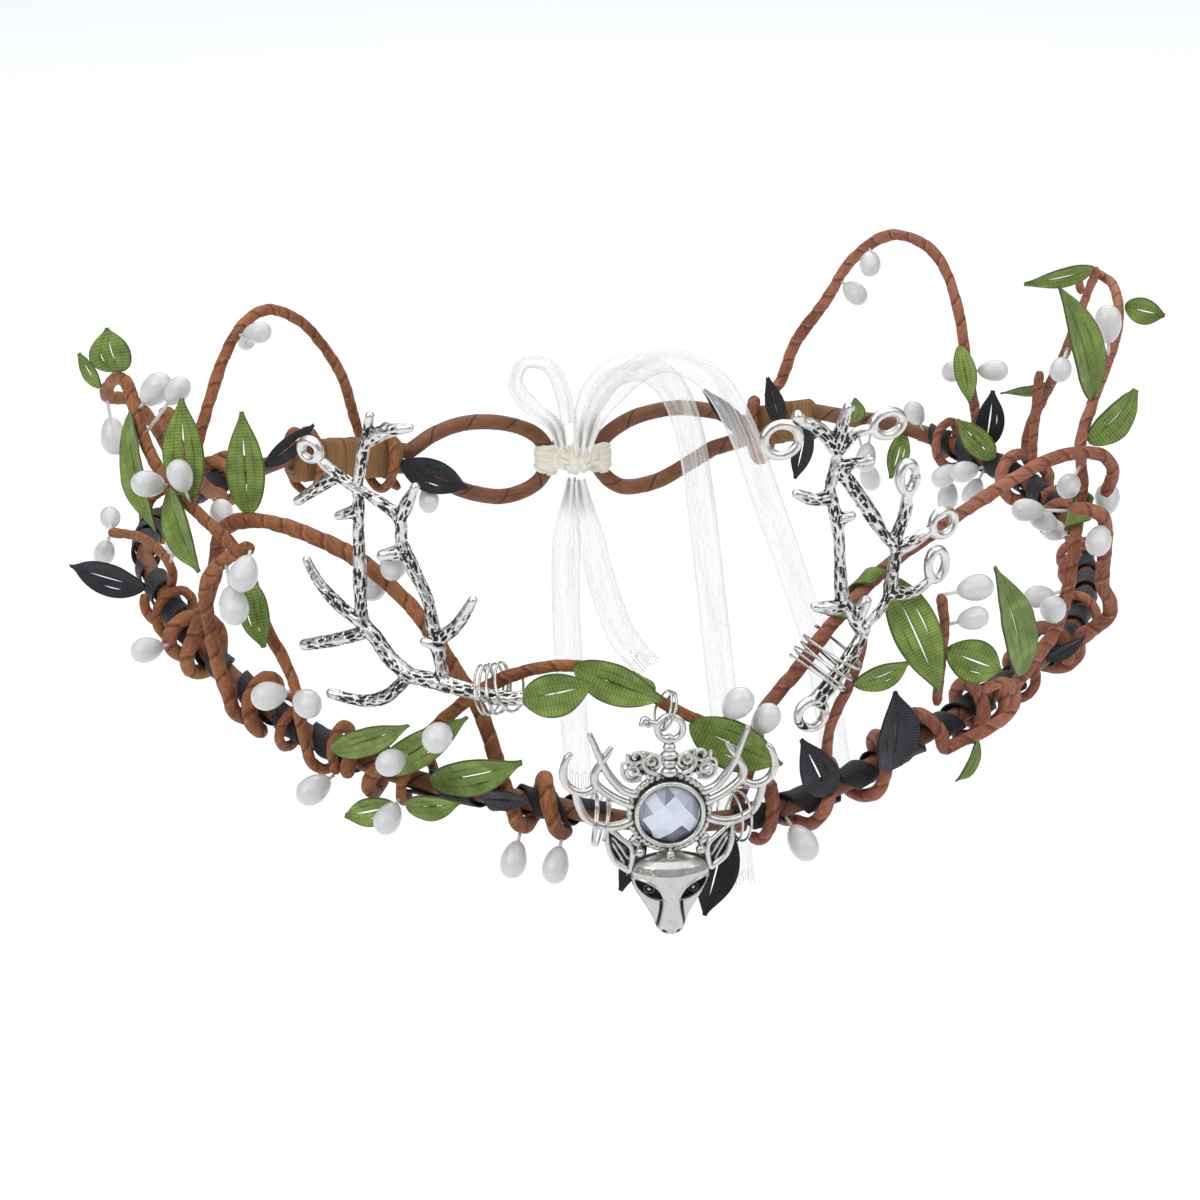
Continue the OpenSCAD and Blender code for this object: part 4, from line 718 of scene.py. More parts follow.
def leaf(path, r, row, seed):
    """A leaf from its foot to its tip. Half its width is the sine of the length's share to the power 0.8, it
    rises in the middle as a parabola and its sides lift from the crease. The slits part the bands of the grid
    by a short arch, and the points that meet elsewhere are one."""
    place, tip, (width, rise, faces) = at(row[0:3]), at(row[3:6]), row[6:9]
    q = nearest(path, place)
    lift_off = LEAF_T / 2 * np.linalg.norm(np.cross(unit(tip - q), unit(place - q)))
    foot = seat(path, place, r + lift_off) - unit(place - q) * (lift_off + GAP) * 0.9
    face = np.array([np.sin(np.radians(faces)), -np.cos(np.radians(faces)), 0])
    share = np.linspace(0, 1, LEAF_RINGS)[:, None]
    middle = foot * (1 - share) + tip * share + face * rise * 4 * share * (1 - share)
    long = np.linalg.norm(tip - foot)
    bend = noise(share * 1.4, seed=seed) - 0.5
    along = unit(np.gradient(middle, axis=0))
    side = square_to(unit(np.cross(tip - foot, face)), along)
    up = np.cross(side, along)
    half = 0.3 + (width / 2 - 0.3) * np.sin(np.pi * share ** 0.85) ** 0.8 * (1 - share ** 8)
    arch = lambda low, high: np.sin(np.pi * np.clip((share - low) / (high - low), 0, 1)) ** 0.7
    veined = width > 4.5 or long > 13
    opening = [0 * share, arch(0.3, 0.52) * VEIN_OPEN * (veined and seed % 3 != 0),
               arch(0.22, 0.78) * MIDRIB_OPEN,
               arch(0.42, 0.64) * VEIN_OPEN * (veined and seed % 2 == 0), 0 * share]
    bands = []
    for k in range(len(SLITS) - 1):
        low = SLITS[k] + opening[k] / half.clip(0.3)
        high = SLITS[k + 1] - opening[k + 1] / half.clip(0.3)
        bands.append(low + (high - low) * np.linspace(0, 1, BAND_POINTS))
    over = np.concatenate(bands, 1)
    wave = noise(share * long / 2.6, over * 1.5, seed=seed + 3) - 0.5
    lift = half * (0.3 * np.abs(over) ** 1.3) + wave * 0.5 * np.abs(over) + bend * 0.9 * over
    points = middle[:, None] + (over * half)[..., None] * side[:, None] + lift[..., None] * up[:, None]
    # the grid without the strips between the bands
    quads, rows_at, columns_at = grid(len(share), over.shape[1])
    real = columns_at[:, 0] % BAND_POINTS != BAND_POINTS - 1
    quads, rows_at, columns_at = quads[real], rows_at[real], columns_at[real]
    uv = np.stack([share[rows_at, 0] * long, over[rows_at, columns_at] * half[rows_at, 0]], -1)
    to_slit = np.abs(np.abs(over[:, :, None] - SLITS[1:4]) * half[..., None]).min(-1)
    rim = (np.abs(over) ** 10 + (1 - to_slit / 0.5).clip(0) * 0.75).ravel().clip(0, 1)
    points = points.reshape(-1, 3)
    kept, same = weld(points)
    corners = same[quads]
    whole = np.diff(np.sort(corners, 1), axis=1).all(1)
    return {"points": points[kept], "faces": [corners[whole]], "uv": [uv[whole]], "edge": rim[kept]}


# The carriers' own lines, at the CAD's own steps, which decide where a foot sits
carriers = {node.removeprefix("vine_"): route(rows, 1) for node, (rows, *_) in VINES.items()}
carriers.update({name: route(rows, 1) for name, rows in {
    "twig_left": twig_rows_left[0], "twig_right": twig_rows_right[0], "eye_left": eye_left,
    "branch_left": [[-11.5, 7.2, 4.6], [-17, 7.4, 4], [-20.5, 7.2, 4.8], [-24.5, 7, 5.8], [-27.4, 6.6, 6]],
}.items()})
carriers.update(hoop_left=hoop_arc(-134, -8, 1.5), hoop_front=hoop_arc(-16, 16),
                hoop_right=hoop_arc(8, 143, 1.5), bound_left=level(np.array([-137, -144, -150, -155])),
                bound_right=level(np.array([145.4, 150, 155])))

# node: carrier, radius, rows of the foot's angle, out and height, the tip's, width, rise and facing angle
LEAVES = {
    "leaves_green_left": [
        ("side_left", VINE_R, [(-79, 3.6, 40.6, -79.4, 5.2, 47.4, 8, 1, -20),
            (-86, 8, 33.6, -88.4, 9.6, 38.6, 3, 0.4, -20), (-75, 6.4, 34.4, -62, 7.4, 19, 6.4, 1.6, -40),
            (-59, 3, 28.6, -60, 2.6, 42.8, 7.2, 1, -15),
            (-60.6, 6.4, 26, -53.6, 7.4, 15.4, 6.6, 0.8, -35), (-46, 7, 16.6, -43.8, 7.6, 6, 5.2, 0.6, -20),
            (-36, 6.6, -8, -26.2, 9.6, -1.6, 5.2, 0.6, -14)]),
        ("front_left", VINE_R, [(-51, 0.6, 26, -51.6, -0.8, 42.8, 6.4, 1, 0)]),
    ],
    "leaves_green_front": [
        ("brow", VINE_R, [(-30, 7.4, -12.4, -20.4, 8, 0.4, 6, 0.6, -12),
            (-9.4, 7, 9.6, -1, 7.6, 4, 7, 0.6, 0), (1.6, 5.6, -2.4, 10.8, 8.4, -8.8, 8.5, 1, 8)]),
        ("hoop_left", WRAP_R + VINE_R, [(-28, 4.6, -18.4, -21.6, 6.8, -15.6, 5, 0.6, -5),
            (-29.2, 4.6, -18.4, -35.4, 5, -22.4, 5, 0.6, -20)]),
        ("hoop_left", ON_RIBBON, [(-26, 4, -13.4, -15, 8, -7, 6.6, 1, -5)]),
        ("branch_left", 1.85, [(-15, 9.6, 5, -7.8, 8.8, 7.6, 7.4, 0.6, -8)]),
    ],
    "leaves_green_right": [
        ("twig_right", TWIG_R, [(32, 7, 5.6, 36.4, 9.4, -0.6, 7.4, 0.8, 25)]),
        ("side_right", VINE_R, [(43.6, 7, -2.6, 35, 9.4, 18.6, 7.6, 1.4, 30),
            (63, 2.6, 38, 57, -1.6, 57.4, 8.6, 1.4, 40), (81.6, 7, 44, 80.4, 12.8, 42, 5, 0.4, 10),
            (61.4, 5, 28.4, 65.4, 9.4, 35.8, 7, 1, 30)]),
        ("side_right_twist", VINE_R, [(105.4, 1, 17.4, 113, -0.6, 12, 5, 0.6, 20)]),
        ("side_right_twist", VINE_R * 0.6, [(86, -2.6, 47.6, 82, -12.6, 47, 4, 0.6, 60)]),
        ("front_right", VINE_R, [(25.4, 4, 15, 28.2, 9.2, -1, 8.2, 0.8, 20)]),
        ("side_right", VINE_R, [(38.6, 6, -16.6, 31, 8.6, -18.6, 4.6, 0.6, 30)]),
        ("riser_right", TWIG_R, [(20.4, 6, 2.2, 24.2, 9.6, 6, 5, 0.6, 22)]),
    ],
    "leaves_green_back": [
        ("back_right", VINE_R + 0.2, [(121.6, -2, 18, 118.4, -2, 8, 4.4, 0.6, 0)]),
        ("hoop_right", ON_RIBBON, [(113.6, -2, -1, 118, -5.8, 5.4, 5.4, 0.8, 0)]),
        ("hoop_right", CANE_R, [(139.6, -5, -3.4, 137.4, -5.8, 3.6, 5, 0.6, 0),
            (131.6, -4.2, -4.4, 131.4, -5, -12, 4.6, 0.6, 0)]),
    ],
    "leaves_black_left": [
        ("hoop_left", ON_RIBBON, [(-75, 4, 1, -82.4, 14, 1.8, 6.4, 0.6, -10),
            (-47, 4, -7, -44.4, 6.4, -1.6, 4, 0.5, -30),
            (-20.6, 6, -15.4, -14.4, 8.6, -13.4, 4, 0.4, -5)]),
    ],
    "leaves_black_front": [
        ("hoop_front", CANE_R, [(5.4, 1.6, -24.6, 3.3, 4.6, -36.6, 7.2, 0.4, 0),
            (-4.4, 1.6, -24, -5.4, 4.6, -31.4, 4, 0.4, 0)]),
    ],
    "leaves_black_right": [
        ("wrap_right", VINE_R * 0.9, [(15.6, 7, -17.4, 13.2, 6.6, -5.6, 6.4, 0.8, 10),
            (24.4, 7, -13.4, 23.4, 7.6, 0.4, 8.6, 0.8, 25)]),
        ("hoop_right", ON_RIBBON, [(51.8, 4.4, -7, 55.8, 6.4, -5.4, 3.4, 0.4, 45)]),
    ],
    "leaves_black_back": [
        ("hoop_left", CANE_R, [(-131.6, -4.4, -2.6, -138, -5.6, 2.4, 4.2, 0.5, 0)]),
        ("hoop_right", ON_RIBBON, [(116.8, 0.6, 0, 116.4, 1.2, 10.8, 5.6, 0.6, 0)]),
        ("back_right", VINE_R, [(154, -8, -7, 161, -7, 1.6, 4, 0.5, 0)]),
        ("bound_left", 2.8, [(-153.4, -5, -11.4, -163.6, -5.6, -18.6, 7.2, 0.6, 0)]),
        ("bound_right", 3.0, [(150.4, -5, -6, 151.6, -5.6, 5, 4, 0.5, 0),
            (147.4, -5.4, -5.4, 147, -6.2, -16, 4.4, 0.5, 0)]),
    ],
}
for node, sets in LEAVES.items():
    slot = node.split("_")[1] + "_cloth"
    made = [leaf(carriers[carrier], r, row, seed=7 * i + j + len(node))
            for i, (carrier, r, rows) in enumerate(sets) for j, row in enumerate(rows)]
    cloth_wall(piece(node + "_cloth", made, cloths[slot], node))


# Pips.
# Glossy white pips like small berries, egg-shaped, dipped on the end of a thin white thread that is
# twisted into the vine. Some are scuffed with brown.
PIP_RINGS, PIP_SIDES, THREAD_R = 19, 16, 0.3


def pip(path, r, row, seed):
    """A pip turned about the line from its foot to its middle: a thread, then an egg. Its length runs as the
    cosine of an angle and its half width as the sine, a little fuller towards the tip."""
    middle = at(row[0:3])
    foot, radius = seat(path, middle, r), row[3] / 2
    stem = np.linalg.norm(middle - foot) - row[3] * 0.55
    angle = np.linspace(0, np.pi, PIP_RINGS)
    share, drop = (1 - np.cos(angle)) / 2, np.sin(angle) * (1 - 0.16 * np.cos(angle))
    begin = max(stem - 0.3 * radius, 0.1)
    far = np.concatenate([[-0.9, begin * 0.5], begin + share * (stem + 2.5 * radius - begin)])
    wide = np.concatenate([[THREAD_R, THREAD_R], np.maximum(drop * radius * 0.96, THREAD_R)])
    wide[-1] = 0.05
    made = bar(foot + unit(middle - foot) * far[:, None], wide, PIP_SIDES)
    made["scuff"] = np.full(len(made["points"]), (seed * 0.377) % 1)
    return made


def glossy_white(name):
    """White lacquer, faintly warm, with a few brown scuffs and a clear coat."""
    material, shader, place, along, _ = finish_of(name, Coat_Weight=0.5, Coat_Roughness=0.12)
    scuff = place.noise(420.0, 4.0, 0.6).step(0.66, 0.78) * along.mark("scuff").step(0.55, 0.9)
    tone = place.noise(150.0, 2.0)
    colour = scuff.mix(tone.mix((0.60, 0.595, 0.585), (0.70, 0.70, 0.695)), (0.42, 0.27, 0.18))
    feed(shader, Base_Color=colour, Roughness=0.2 + tone * 0.16 + scuff * 0.3,
         Normal=place.noise(900.0, 2.0).bump(0.00006, 0.5))
    return material


pip_white = glossy_white("pip_lacquer")
# node: carrier, radius, rows of the middle's angle, out and height, and the diameter
PIPS = {
    "berries_left": [
        ("side_left", VINE_R, [(-70.6, 0.4, 39.4, 5.2), (-67, -1.6, 40.4, 4.2), (-88, 4.4, 22.8, 5),
            (-61.4, 8.6, 28, 4.8), (-57.4, 6, 30.6, 4.6), (-42.8, 8.4, -2, 5), (-38.2, 8.4, -1.6, 5),
            (-37.6, 8.6, -17, 5)]),
        ("twig_left", TWIG_R, [(-88, 6, 7, 4), (-85.4, 7.4, 2, 4), (-66.6, 0.4, 12.8, 4.2)]),
        ("thick_left", VINE_R, [(-43.8, 11.6, 20.6, 5), (-45, 12.4, 14.6, 5.2)]),
        ("front_left", VINE_R, [(-58.4, -2.6, 21.6, 4.2), (-29.4, 2.6, 23, 4.6), (-34, -2.8, 16.4, 4.6)]),
        ("hoop_left", WRAP_R + VINE_R, [(-63.6, 8.8, -3.6, 4.6)]),
    ],
    "berries_front": [
        ("hoop_left", WRAP_R + VINE_R, [(-29, 8.6, -19.4, 4.6), (-16.4, 5, -26, 4.6),
            (-12, 5.4, -26.4, 4.6)]),
        ((-22.5, 8.2, -1.6), LEAF_T / 2, [(-22.5, 12.6, -1.6, 5)]),
        ((-27, 7.9, -7.8), LEAF_T / 2, [(-27.4, 12.2, -7.4, 4.6)]),
        ("brow", VINE_R, [(6.4, 7, 2.2, 5), (9.4, 6.6, -1.2, 4.6)]),
        ("hoop_right", ON_RIBBON, [(13.6, 6, -24.6, 5)]),
    ],
    "berries_right": [
        ("side_right", VINE_R, [(71, 2.8, 44.6, 5), (54.4, 3.4, 23, 4.2), (49.4, 5, 2.8, 4.8),
            (53, -0.6, 2.4, 4)]),
        ("side_right", VINE_RIBBON_OUT, [(56, -5.1, 16.3, 4.2), (58.4, -3.3, 13.5, 4), (61, -2.5, 10.5, 4)]),
        ("side_right_twist", VINE_R, [(96, -1, 24.4, 4.4)]),
        ("outer_right", VINE_R, [(62.6, 6.2, 16.6, 4.6), (53.4, 10, 14.6, 4.6)]),
        ("twig_right", TWIG_R, [(33.2, 8, 15.2, 4.6), (32.2, 9.4, 10.6, 4)]),
    ],
    "berries_back": [
        ("back_left", VINE_R, [(-128.2, -4.4, 25, 4.4), (-132, 3.4, 21, 4)]),
        ("back_right", VINE_R, [(136.6, -2.8, 31.6, 4.4), (140, -0.4, 24, 4.4), (124.8, 2.4, 11.2, 4.4),
            (119.4, 5, 13, 4.4), (121, -4, -12.4, 4.4)]),
        ("hoop_right", ON_RIBBON + 0.1, [(115.2, -6.6, -4.2, 4.4), (119.6, -6.6, -6.8, 4.4),
            (116.6, -2.8, -9.8, 4.2)]),
        ("hoop_right", CANE_R, [(127.4, -4.6, 3, 4.4), (136.4, -3.6, -9.4, 4.4), (138.4, 2.6, -16, 4.4)]),
        ("eye_left", CANE_R, [(-158, -3.6, -20.4, 4.4)]),
    ],
}
# A pip that sits on a leaf has its foot's own place instead of a carrier
for node, sets in PIPS.items():
    made = [pip(carriers[carrier] if carrier in carriers else at([carrier]), r, row, seed=5 * i + 3 * j)
            for i, (carrier, r, rows) in enumerate(sets) for j, row in enumerate(rows)]
    piece(node + "_pips", made, pip_white, node)


# Cast branches.
# Two branches of cast silver, thin forked limbs with curled tips. The casting keeps the bark's long
# pits, darkened by oxide and by painted shade, and the worn heights shine, partly as a painted
# highlight. Wire ties them to the vines in front.
LIMB_R, LIMB_TIP_R, LIMB_SIDES, LIMB_STEP = 1.25, 0.85, 12, 0.4
BRANCH_VOXEL, AVERAGINGS = 0.25, 10

branch_left_limbs = [[[-11.5, 7.2, 4.6], [-17, 7.4, 4], [-20.5, 7.2, 4.8], [-24.5, 7, 5.8],
    [-27.4, 6.6, 6]], [[-23, 7, 5.8], [-23.6, 6.4, 11], [-24.2, 6, 15], [-24.8, 5.6, 19.5], [-26.2, 5.4, 24],
    [-27.4, 5.4, 28.5], [-27.6, 5.4, 32.6], [-29.6, 5.4, 35], [-32.4, 5.4, 37], [-34.6, 5.6, 38.8],
    [-36.4, 6, 41]], [[-27.6, 5.4, 32.6], [-25.4, 6, 39.4]], [[-27.4, 5.4, 27], [-30, 6.4, 26]],
    [[-23.8, 6.2, 12.4], [-21.4, 6.8, 16], [-19.4, 7.4, 21.4]], [[-23.4, 6.6, 12], [-25.4, 7.2, 12.6]],
    [[-26.6, 6.8, 6], [-29, 6.2, 8.4], [-30.6, 5.8, 11.4], [-32, 5.6, 13.6], [-32.4, 5.4, 18],
    [-32.4, 5.2, 23], [-32.4, 5.2, 28.4], [-32.2, 5.4, 33.6], [-32.2, 5.4, 37], [-31.6, 5.4, 42],
    [-31, 5.6, 46], [-30.2, 6, 50.6]], [[-30.8, 5.5, 45.4], [-28.6, 6, 47.6], [-25.4, 6.6, 49]],
    [[-34.6, 5.6, 38.6], [-39.6, 6.4, 32.6]], [[-32.4, 5.4, 33], [-34.8, 6.2, 31.6]], [[-32, 5.6, 13.6],
    [-34.4, 6, 15.8], [-36.8, 6.4, 19.4], [-38.4, 6.8, 24]], [[-31.4, 5.6, 12.4], [-35, 6, 10],
    [-39.6, 6.6, 7.6]], [[-27, 6.6, 5.6], [-29.4, 6.4, 1.6], [-32.4, 6.4, 0], [-36.4, 6.8, 0.4]]]
branch_right_limbs = [[[14.6, 7, 1], [16.4, 7, 4], [18, 6.8, 7], [19.6, 6.6, 10.4], [20.2, 6.4, 13.4]],
    [[19.6, 6.4, 12.4], [18.6, 6, 15.4], [17.8, 5.6, 18.6], [17.6, 5.4, 24], [17.4, 5.4, 29],
    [16.8, 5.4, 34], [16.4, 5.4, 37], [16.8, 5.4, 40], [17.2, 5.4, 43.6]], [[17.9, 5.8, 16.4],
    [15.8, 6.4, 17], [14, 6.8, 17.8]], [[19.2, 6.2, 14], [20.4, 7, 18]], [[16.6, 5.4, 35.6],
    [14.4, 5.6, 35.8], [12.2, 6, 37.6]], [[17.2, 5.4, 31.6], [19.2, 6, 32.2]], [[17.2, 5.4, 43.2],
    [16, 5.4, 46], [14.4, 5.6, 48.4], [12.6, 5.8, 49.4]], [[13, 5.6, 49.2], [12.4, 6.4, 51.2]],
    [[17, 5.4, 44], [17.6, 5.8, 48], [18.2, 6.2, 51.6]], [[17.2, 5.4, 43.4], [19, 5.6, 45.8],
    [20.6, 5.8, 46.4]], [[16.9, 5.3, 40.6], [21.2, 6, 41.2]], [[17, 5.4, 41], [19.4, 5.4, 35.6],
    [21.2, 5.4, 31.2], [22.8, 5.4, 27.2], [24, 5.4, 25], [23.8, 5.6, 21.6], [23.2, 5.8, 17.6],
    [22.2, 6, 14.8], [20.2, 6.4, 12.6]], [[24, 5.4, 26.4], [25, 5.8, 31], [25, 6, 35]], [[24, 5.4, 24.4],
    [26, 5.8, 25.4], [28, 6.1, 26.9]], [[23.2, 5.8, 17.4], [26, 6.2, 16.6], [28, 6.6, 18.4]]]
curls_right = [[14.2, 7, -1.2, 2.4, 2.4], [11, 6, 46.6, 3, 2.6], [22.6, 6, 46.8, 2.8, 2],
    [25, 6.2, 37, 1.6, 2.4], [29.6, 6.3, 27.6, 2.4, 2.1], [28.6, 6.8, 20.8, 1.8, 2.6]]
curls_left = [[-37.4, 6.2, 42.4, 1.8, 1.6]]


def limb_bars(limbs, curls):
    """Each limb is a bar whose radius falls from root to tip, with knots where the noise is high, and whose
    last part is rounded as a quarter circle. Each curl is a ring round an upright oval, its plane square to
    the head's outward direction."""
    made = []
    for number, rows in enumerate(limbs):
        line = even(route(rows), LIMB_STEP)
        far = lengths(line)
        share = far / far[-1]
        first, last = (LIMB_R * 1.1, LIMB_R) if number == 0 else (LIMB_R, LIMB_TIP_R)
        from_end = np.clip((1 - share) * far[-1] / last, 0, 1)
        blunt = np.sqrt(1 - (1 - from_end) ** 2).clip(0.2)
        knots = 0.86 + 0.3 * noise(far / 3.2, number, seed=7)
        made.append(bar(line, (first + (last - first) * share) * knots * blunt, LIMB_SIDES))
    turn = np.linspace(0, 2 * np.pi, 40)
    for angle, out, height, half_wide, half_tall in curls:
        level_way = np.array([np.cos(np.radians(angle)), np.sin(np.radians(angle)), 0])
        ring = (at([angle, out, height]) + half_wide * np.cos(turn)[:, None] * level_way
                + half_tall * np.sin(turn)[:, None] * np.array([0, 0, 1]))
        made.append(bar(ring, LIMB_TIP_R * (0.85 + 0.3 * noise(turn, 0, angle, 8)), LIMB_SIDES))
    return made


def edge_ends(mesh):
    """The two points of each edge, once each way round."""
    edges = np.empty(len(mesh.edges) * 2, np.int32)
    mesh.edges.foreach_get("vertices", edges)
    return np.concatenate([edges.reshape(-1, 2), edges.reshape(-1, 2)[:, ::-1]])


def drop_crumbs(mesh):
    """Deletes what doesn't hang together with the skin's largest part: each point takes the lowest number
    among its neighbours' until none changes."""
    ends, number, last = edge_ends(mesh), np.arange(len(mesh.vertices)), None
    while last is None or (number != last).any():
        last = number.copy()
        np.minimum.at(number, ends[:, 0], last[ends[:, 1]])
        number = number[number]
    crumbs = np.flatnonzero(number != np.bincount(number).argmax())
    skin = bmesh.new()
    skin.from_mesh(mesh)
    skin.verts.ensure_lookup_table()
    bmesh.ops.delete(skin, geom=[skin.verts[k] for k in crumbs], context="VERTS")
    skin.to_mesh(mesh)
    skin.free()


def cast(name, parts, voxel, material, node, carve):
    """Runs the parts together into one closed skin, by a voxel remesh and a light smoothing, then moves each
    point in along its normal by what carve gives for the places. The mark of pits and shade is that depth,
    and how far the point lies under the skin's own average, where each point is moved again and again to
    the middle of its neighbours: this second part darkens the hollows both as oxide and as painted shade."""
    rough = bpy.data.objects.new(name + "_rough", mesh_of(name + "_rough", parts, material))
    bpy.context.scene.collection.objects.link(rough)
    joined = rough.modifiers.new("joined", "REMESH")
    joined.mode, joined.voxel_size, joined.use_smooth_shade = "VOXEL", voxel / 1000, True
    soft = rough.modifiers.new("soft", "SMOOTH")
    soft.factor, soft.iterations = 0.5, 3
    bpy.context.view_layer.update()
    mesh = bpy.data.meshes.new_from_object(rough.evaluated_get(bpy.context.evaluated_depsgraph_get()))
    mesh.name = name
    bpy.data.objects.remove(rough)
    drop_crumbs(mesh)
    places, normals = np.empty(len(mesh.vertices) * 3), np.empty(len(mesh.vertices) * 3)
    mesh.vertices.foreach_get("co", places)
    mesh.vertex_normals.foreach_get("vector", normals)
    places, normals = places.reshape(-1, 3) * 1000, normals.reshape(-1, 3)
    depth = carve(places)
    here, there = edge_ends(mesh).T
    neighbours = np.bincount(here, minlength=len(places))
    average = places
    for _ in range(AVERAGINGS):
        average = np.stack([np.bincount(here, average[there, k], len(places)) / neighbours
                            for k in range(3)], -1)
    # Painted shade as well as oxide: how deep each point lies in a hollow, like ambient occlusion
    hollow_shade = ((average - places) * normals).sum(-1)
    mesh.vertices.foreach_set("co", ((places - normals * depth[:, None]) / 1000).ravel())
    # The mark holds the carved depth and the hollows, which darken as oxide and as painted shade
    pit = mesh.attributes.new("pit", "FLOAT", "POINT")
    pit.data.foreach_set("value", (depth + hollow_shade.clip(-0.02)).astype(np.float32))
    mesh.polygons.foreach_set("use_smooth", np.ones(len(mesh.polygons), bool))
    mesh.update()
    placed(name, mesh, node)


def cells(places, seed):
    """How far each place is from the wall between its two nearest cell middles: the second distance less the
    first, where each whole place has one middle at random in it."""
    cell = np.floor(places).astype(np.int64)
    first = second = np.full(len(places), 9.0)
    for shift in np.ndindex(3, 3, 3):
        near = cell + shift - 1
        far = np.linalg.norm(near + draws(near, seed, 3) - places, axis=1)
        first, second = np.minimum(first, far), np.minimum(np.maximum(first, far), second)
    return second - first


def bark(limbs):
    """A net of long narrow pits along the limbs: the cells of each point's own length along its nearest limb
    and its turn round it. The last millimetres of each limb are smooth."""
    lines = [even(route(rows), LIMB_STEP) for rows in limbs]
    spots = np.vstack(lines)
    sides = [frames(line) for line in lines]
    side, across = (np.vstack([way[k] for way in sides]) for k in (1, 2))
    far = np.concatenate([lengths(line) + 40 * k for k, line in enumerate(lines)])
    to_end = np.concatenate([lengths(line)[-1] - lengths(line) for line in lines])

    def carve(places):
        near = np.concatenate([np.argmin(((part[:, None] - spots[None]) ** 2).sum(-1), 1)
                               for part in np.array_split(places, max(1, len(places) // 400))])
        away = places - spots[near]
        turn = np.arctan2((away * across[near]).sum(-1), (away * side[near]).sum(-1))
        wall = cells(np.column_stack([far[near] / 1.9, np.cos(turn) * 1.6, np.sin(turn) * 1.6]), 11)
        lump = noise(far[near] / 2.6, np.cos(turn), np.sin(turn), 12)
        rough = np.clip((to_end[near] - 1.2) / 2.5, 0, 1)
        return rough * (np.clip((wall - 0.08) / 0.22, 0, 1) * 0.25 * np.clip(lump * 2.2 - 0.1, 0.4, 1) - 0.06)

    return carve


def cast_silver(name, dark, light, grain):
    """Cast silver: dark with oxide in the pits and hollows, which also hold painted shade, and a little
    painted shade on flat parts too, so that the heights stay bright as a painted highlight; with fine
    casting grain."""
    material, shader, place, along, _ = finish_of(name, Metallic=1.0)
    stain = place.noise(700.0, 4.0, 0.65)
    # Oxide and painted shade: the low threshold darkens pits, hollows and, a little, flat parts, so that the
    # heights read as a painted highlight
    oxide_and_shade = along.mark("pit").step(-0.02, 0.075) * 0.97 + stain.step(0.52, 0.8) * grain
    oxide_and_shade = oxide_and_shade.maths("MINIMUM", 1.0)
    feed(shader, Base_Color=oxide_and_shade.mix(light, dark), Roughness=0.2 + stain * 0.18 + oxide_and_shade * 0.35,
         Metallic=1 - oxide_and_shade * 0.35, Normal=(stain * 0.6 + place.noise(2200.0, 2.0) * 0.3).bump(0.00008, 0.6))
    return material


branch_silver = cast_silver("silver_branch", (0.020, 0.018, 0.016), (0.72, 0.705, 0.68), 0.4)
for node, limbs, curls in (("branch_left", branch_left_limbs, curls_left),
                           ("branch_right", branch_right_limbs, curls_right)):
    cast(node + "_cast", limb_bars(limbs, curls), BRANCH_VOXEL, branch_silver, node, bark(limbs))


# Lashings.
# Bright silver wire, doubled, wound a few times by hand round a limb and a vine together. The two
# strands stray apart, and the ends are cut off short.
WIRE_R, COIL_RINGS = 0.22, 44
# node: start and end as angle, out and height, turns, half reach out and to the side, tilt
LASHINGS = {
    "lashing_left": [((-19.5, 5.3, 4.1), (-15.8, 5.3, 5.4), 3, 5.1, 3.5, 15)],
    "lashing_right": [((15.4, 3.7, 4.3), (18.2, 3.7, 9.1), 3, 6, 3.3, 21)],
    "lashing_pendant": [((-0.9, 6.1, 1.7), (-0.2, 6.1, 1.2), 1.4, 4.8, 3, 0),
                        ((-8.6, 5.1, -17.8), (-6.8, 5.1, -18.2), 1.6, 10, 4.4, -19),
                        ((5.8, 5.1, -18.4), (7.2, 5.1, -18.4), 1.3, 10.2, 4.4, -26)],
}


def coil(start, end, turns, half_out, half_side, tilt, seed):
    """Wire round two things: the point between start and end, plus the long half times the cosine of the turn
    and the short half times its sine, each a little more or less by the noise."""
    first, last = at(start), at(end)
    axis = unit(last - first)
    middle, tilt = np.radians((start[0] + end[0]) / 2), np.radians(tilt)
    face = square_to(np.array([np.sin(middle), -np.cos(middle), 0]), axis)
    side = np.cross(axis, face)
    long_way, short_way = np.cos(tilt) * face + np.sin(tilt) * side, np.cos(tilt) * side - np.sin(tilt) * face
    share = np.linspace(0, 1, int(turns * COIL_RINGS) + 1)[:, None]
    turn = np.pi + turns * 2 * np.pi * share
    stray = noise(share * turns * 2.2, seed=seed) - 0.5
    line = first * (1 - share) + last * share + axis * stray * 2.2
    line = line + half_out * (1 - 0.12 * stray) * np.cos(turn) * long_way
    return bar(line + half_side * np.sin(turn) * short_way, WIRE_R, 10)


def drawn_wire(name):
    """Drawn silver wire: fine lines along it and a bright polish, dulled in places."""
    material, shader, place, along, turn = finish_of(name, Metallic=1.0)
    line = (along * 0.2).beside(turn * 26.0).noise(1.0, 2.0)
    dull = place.noise(500.0, 3.0)
    feed(shader, Base_Color=dull.step(0.4, 0.8).mix((0.62, 0.61, 0.59), (0.36, 0.35, 0.33)),
         Roughness=0.14 + dull * 0.2, Normal=line.bump(0.00004, 0.4))
    return material


wire_silver = drawn_wire("silver_wire")
for node, coils in LASHINGS.items():
    strands = [coil(*row, seed=30 + 7 * k + strand) for k, row in enumerate(coils) for strand in (0, 1)]
    piece(node + "_wire", strands, wire_silver, node)


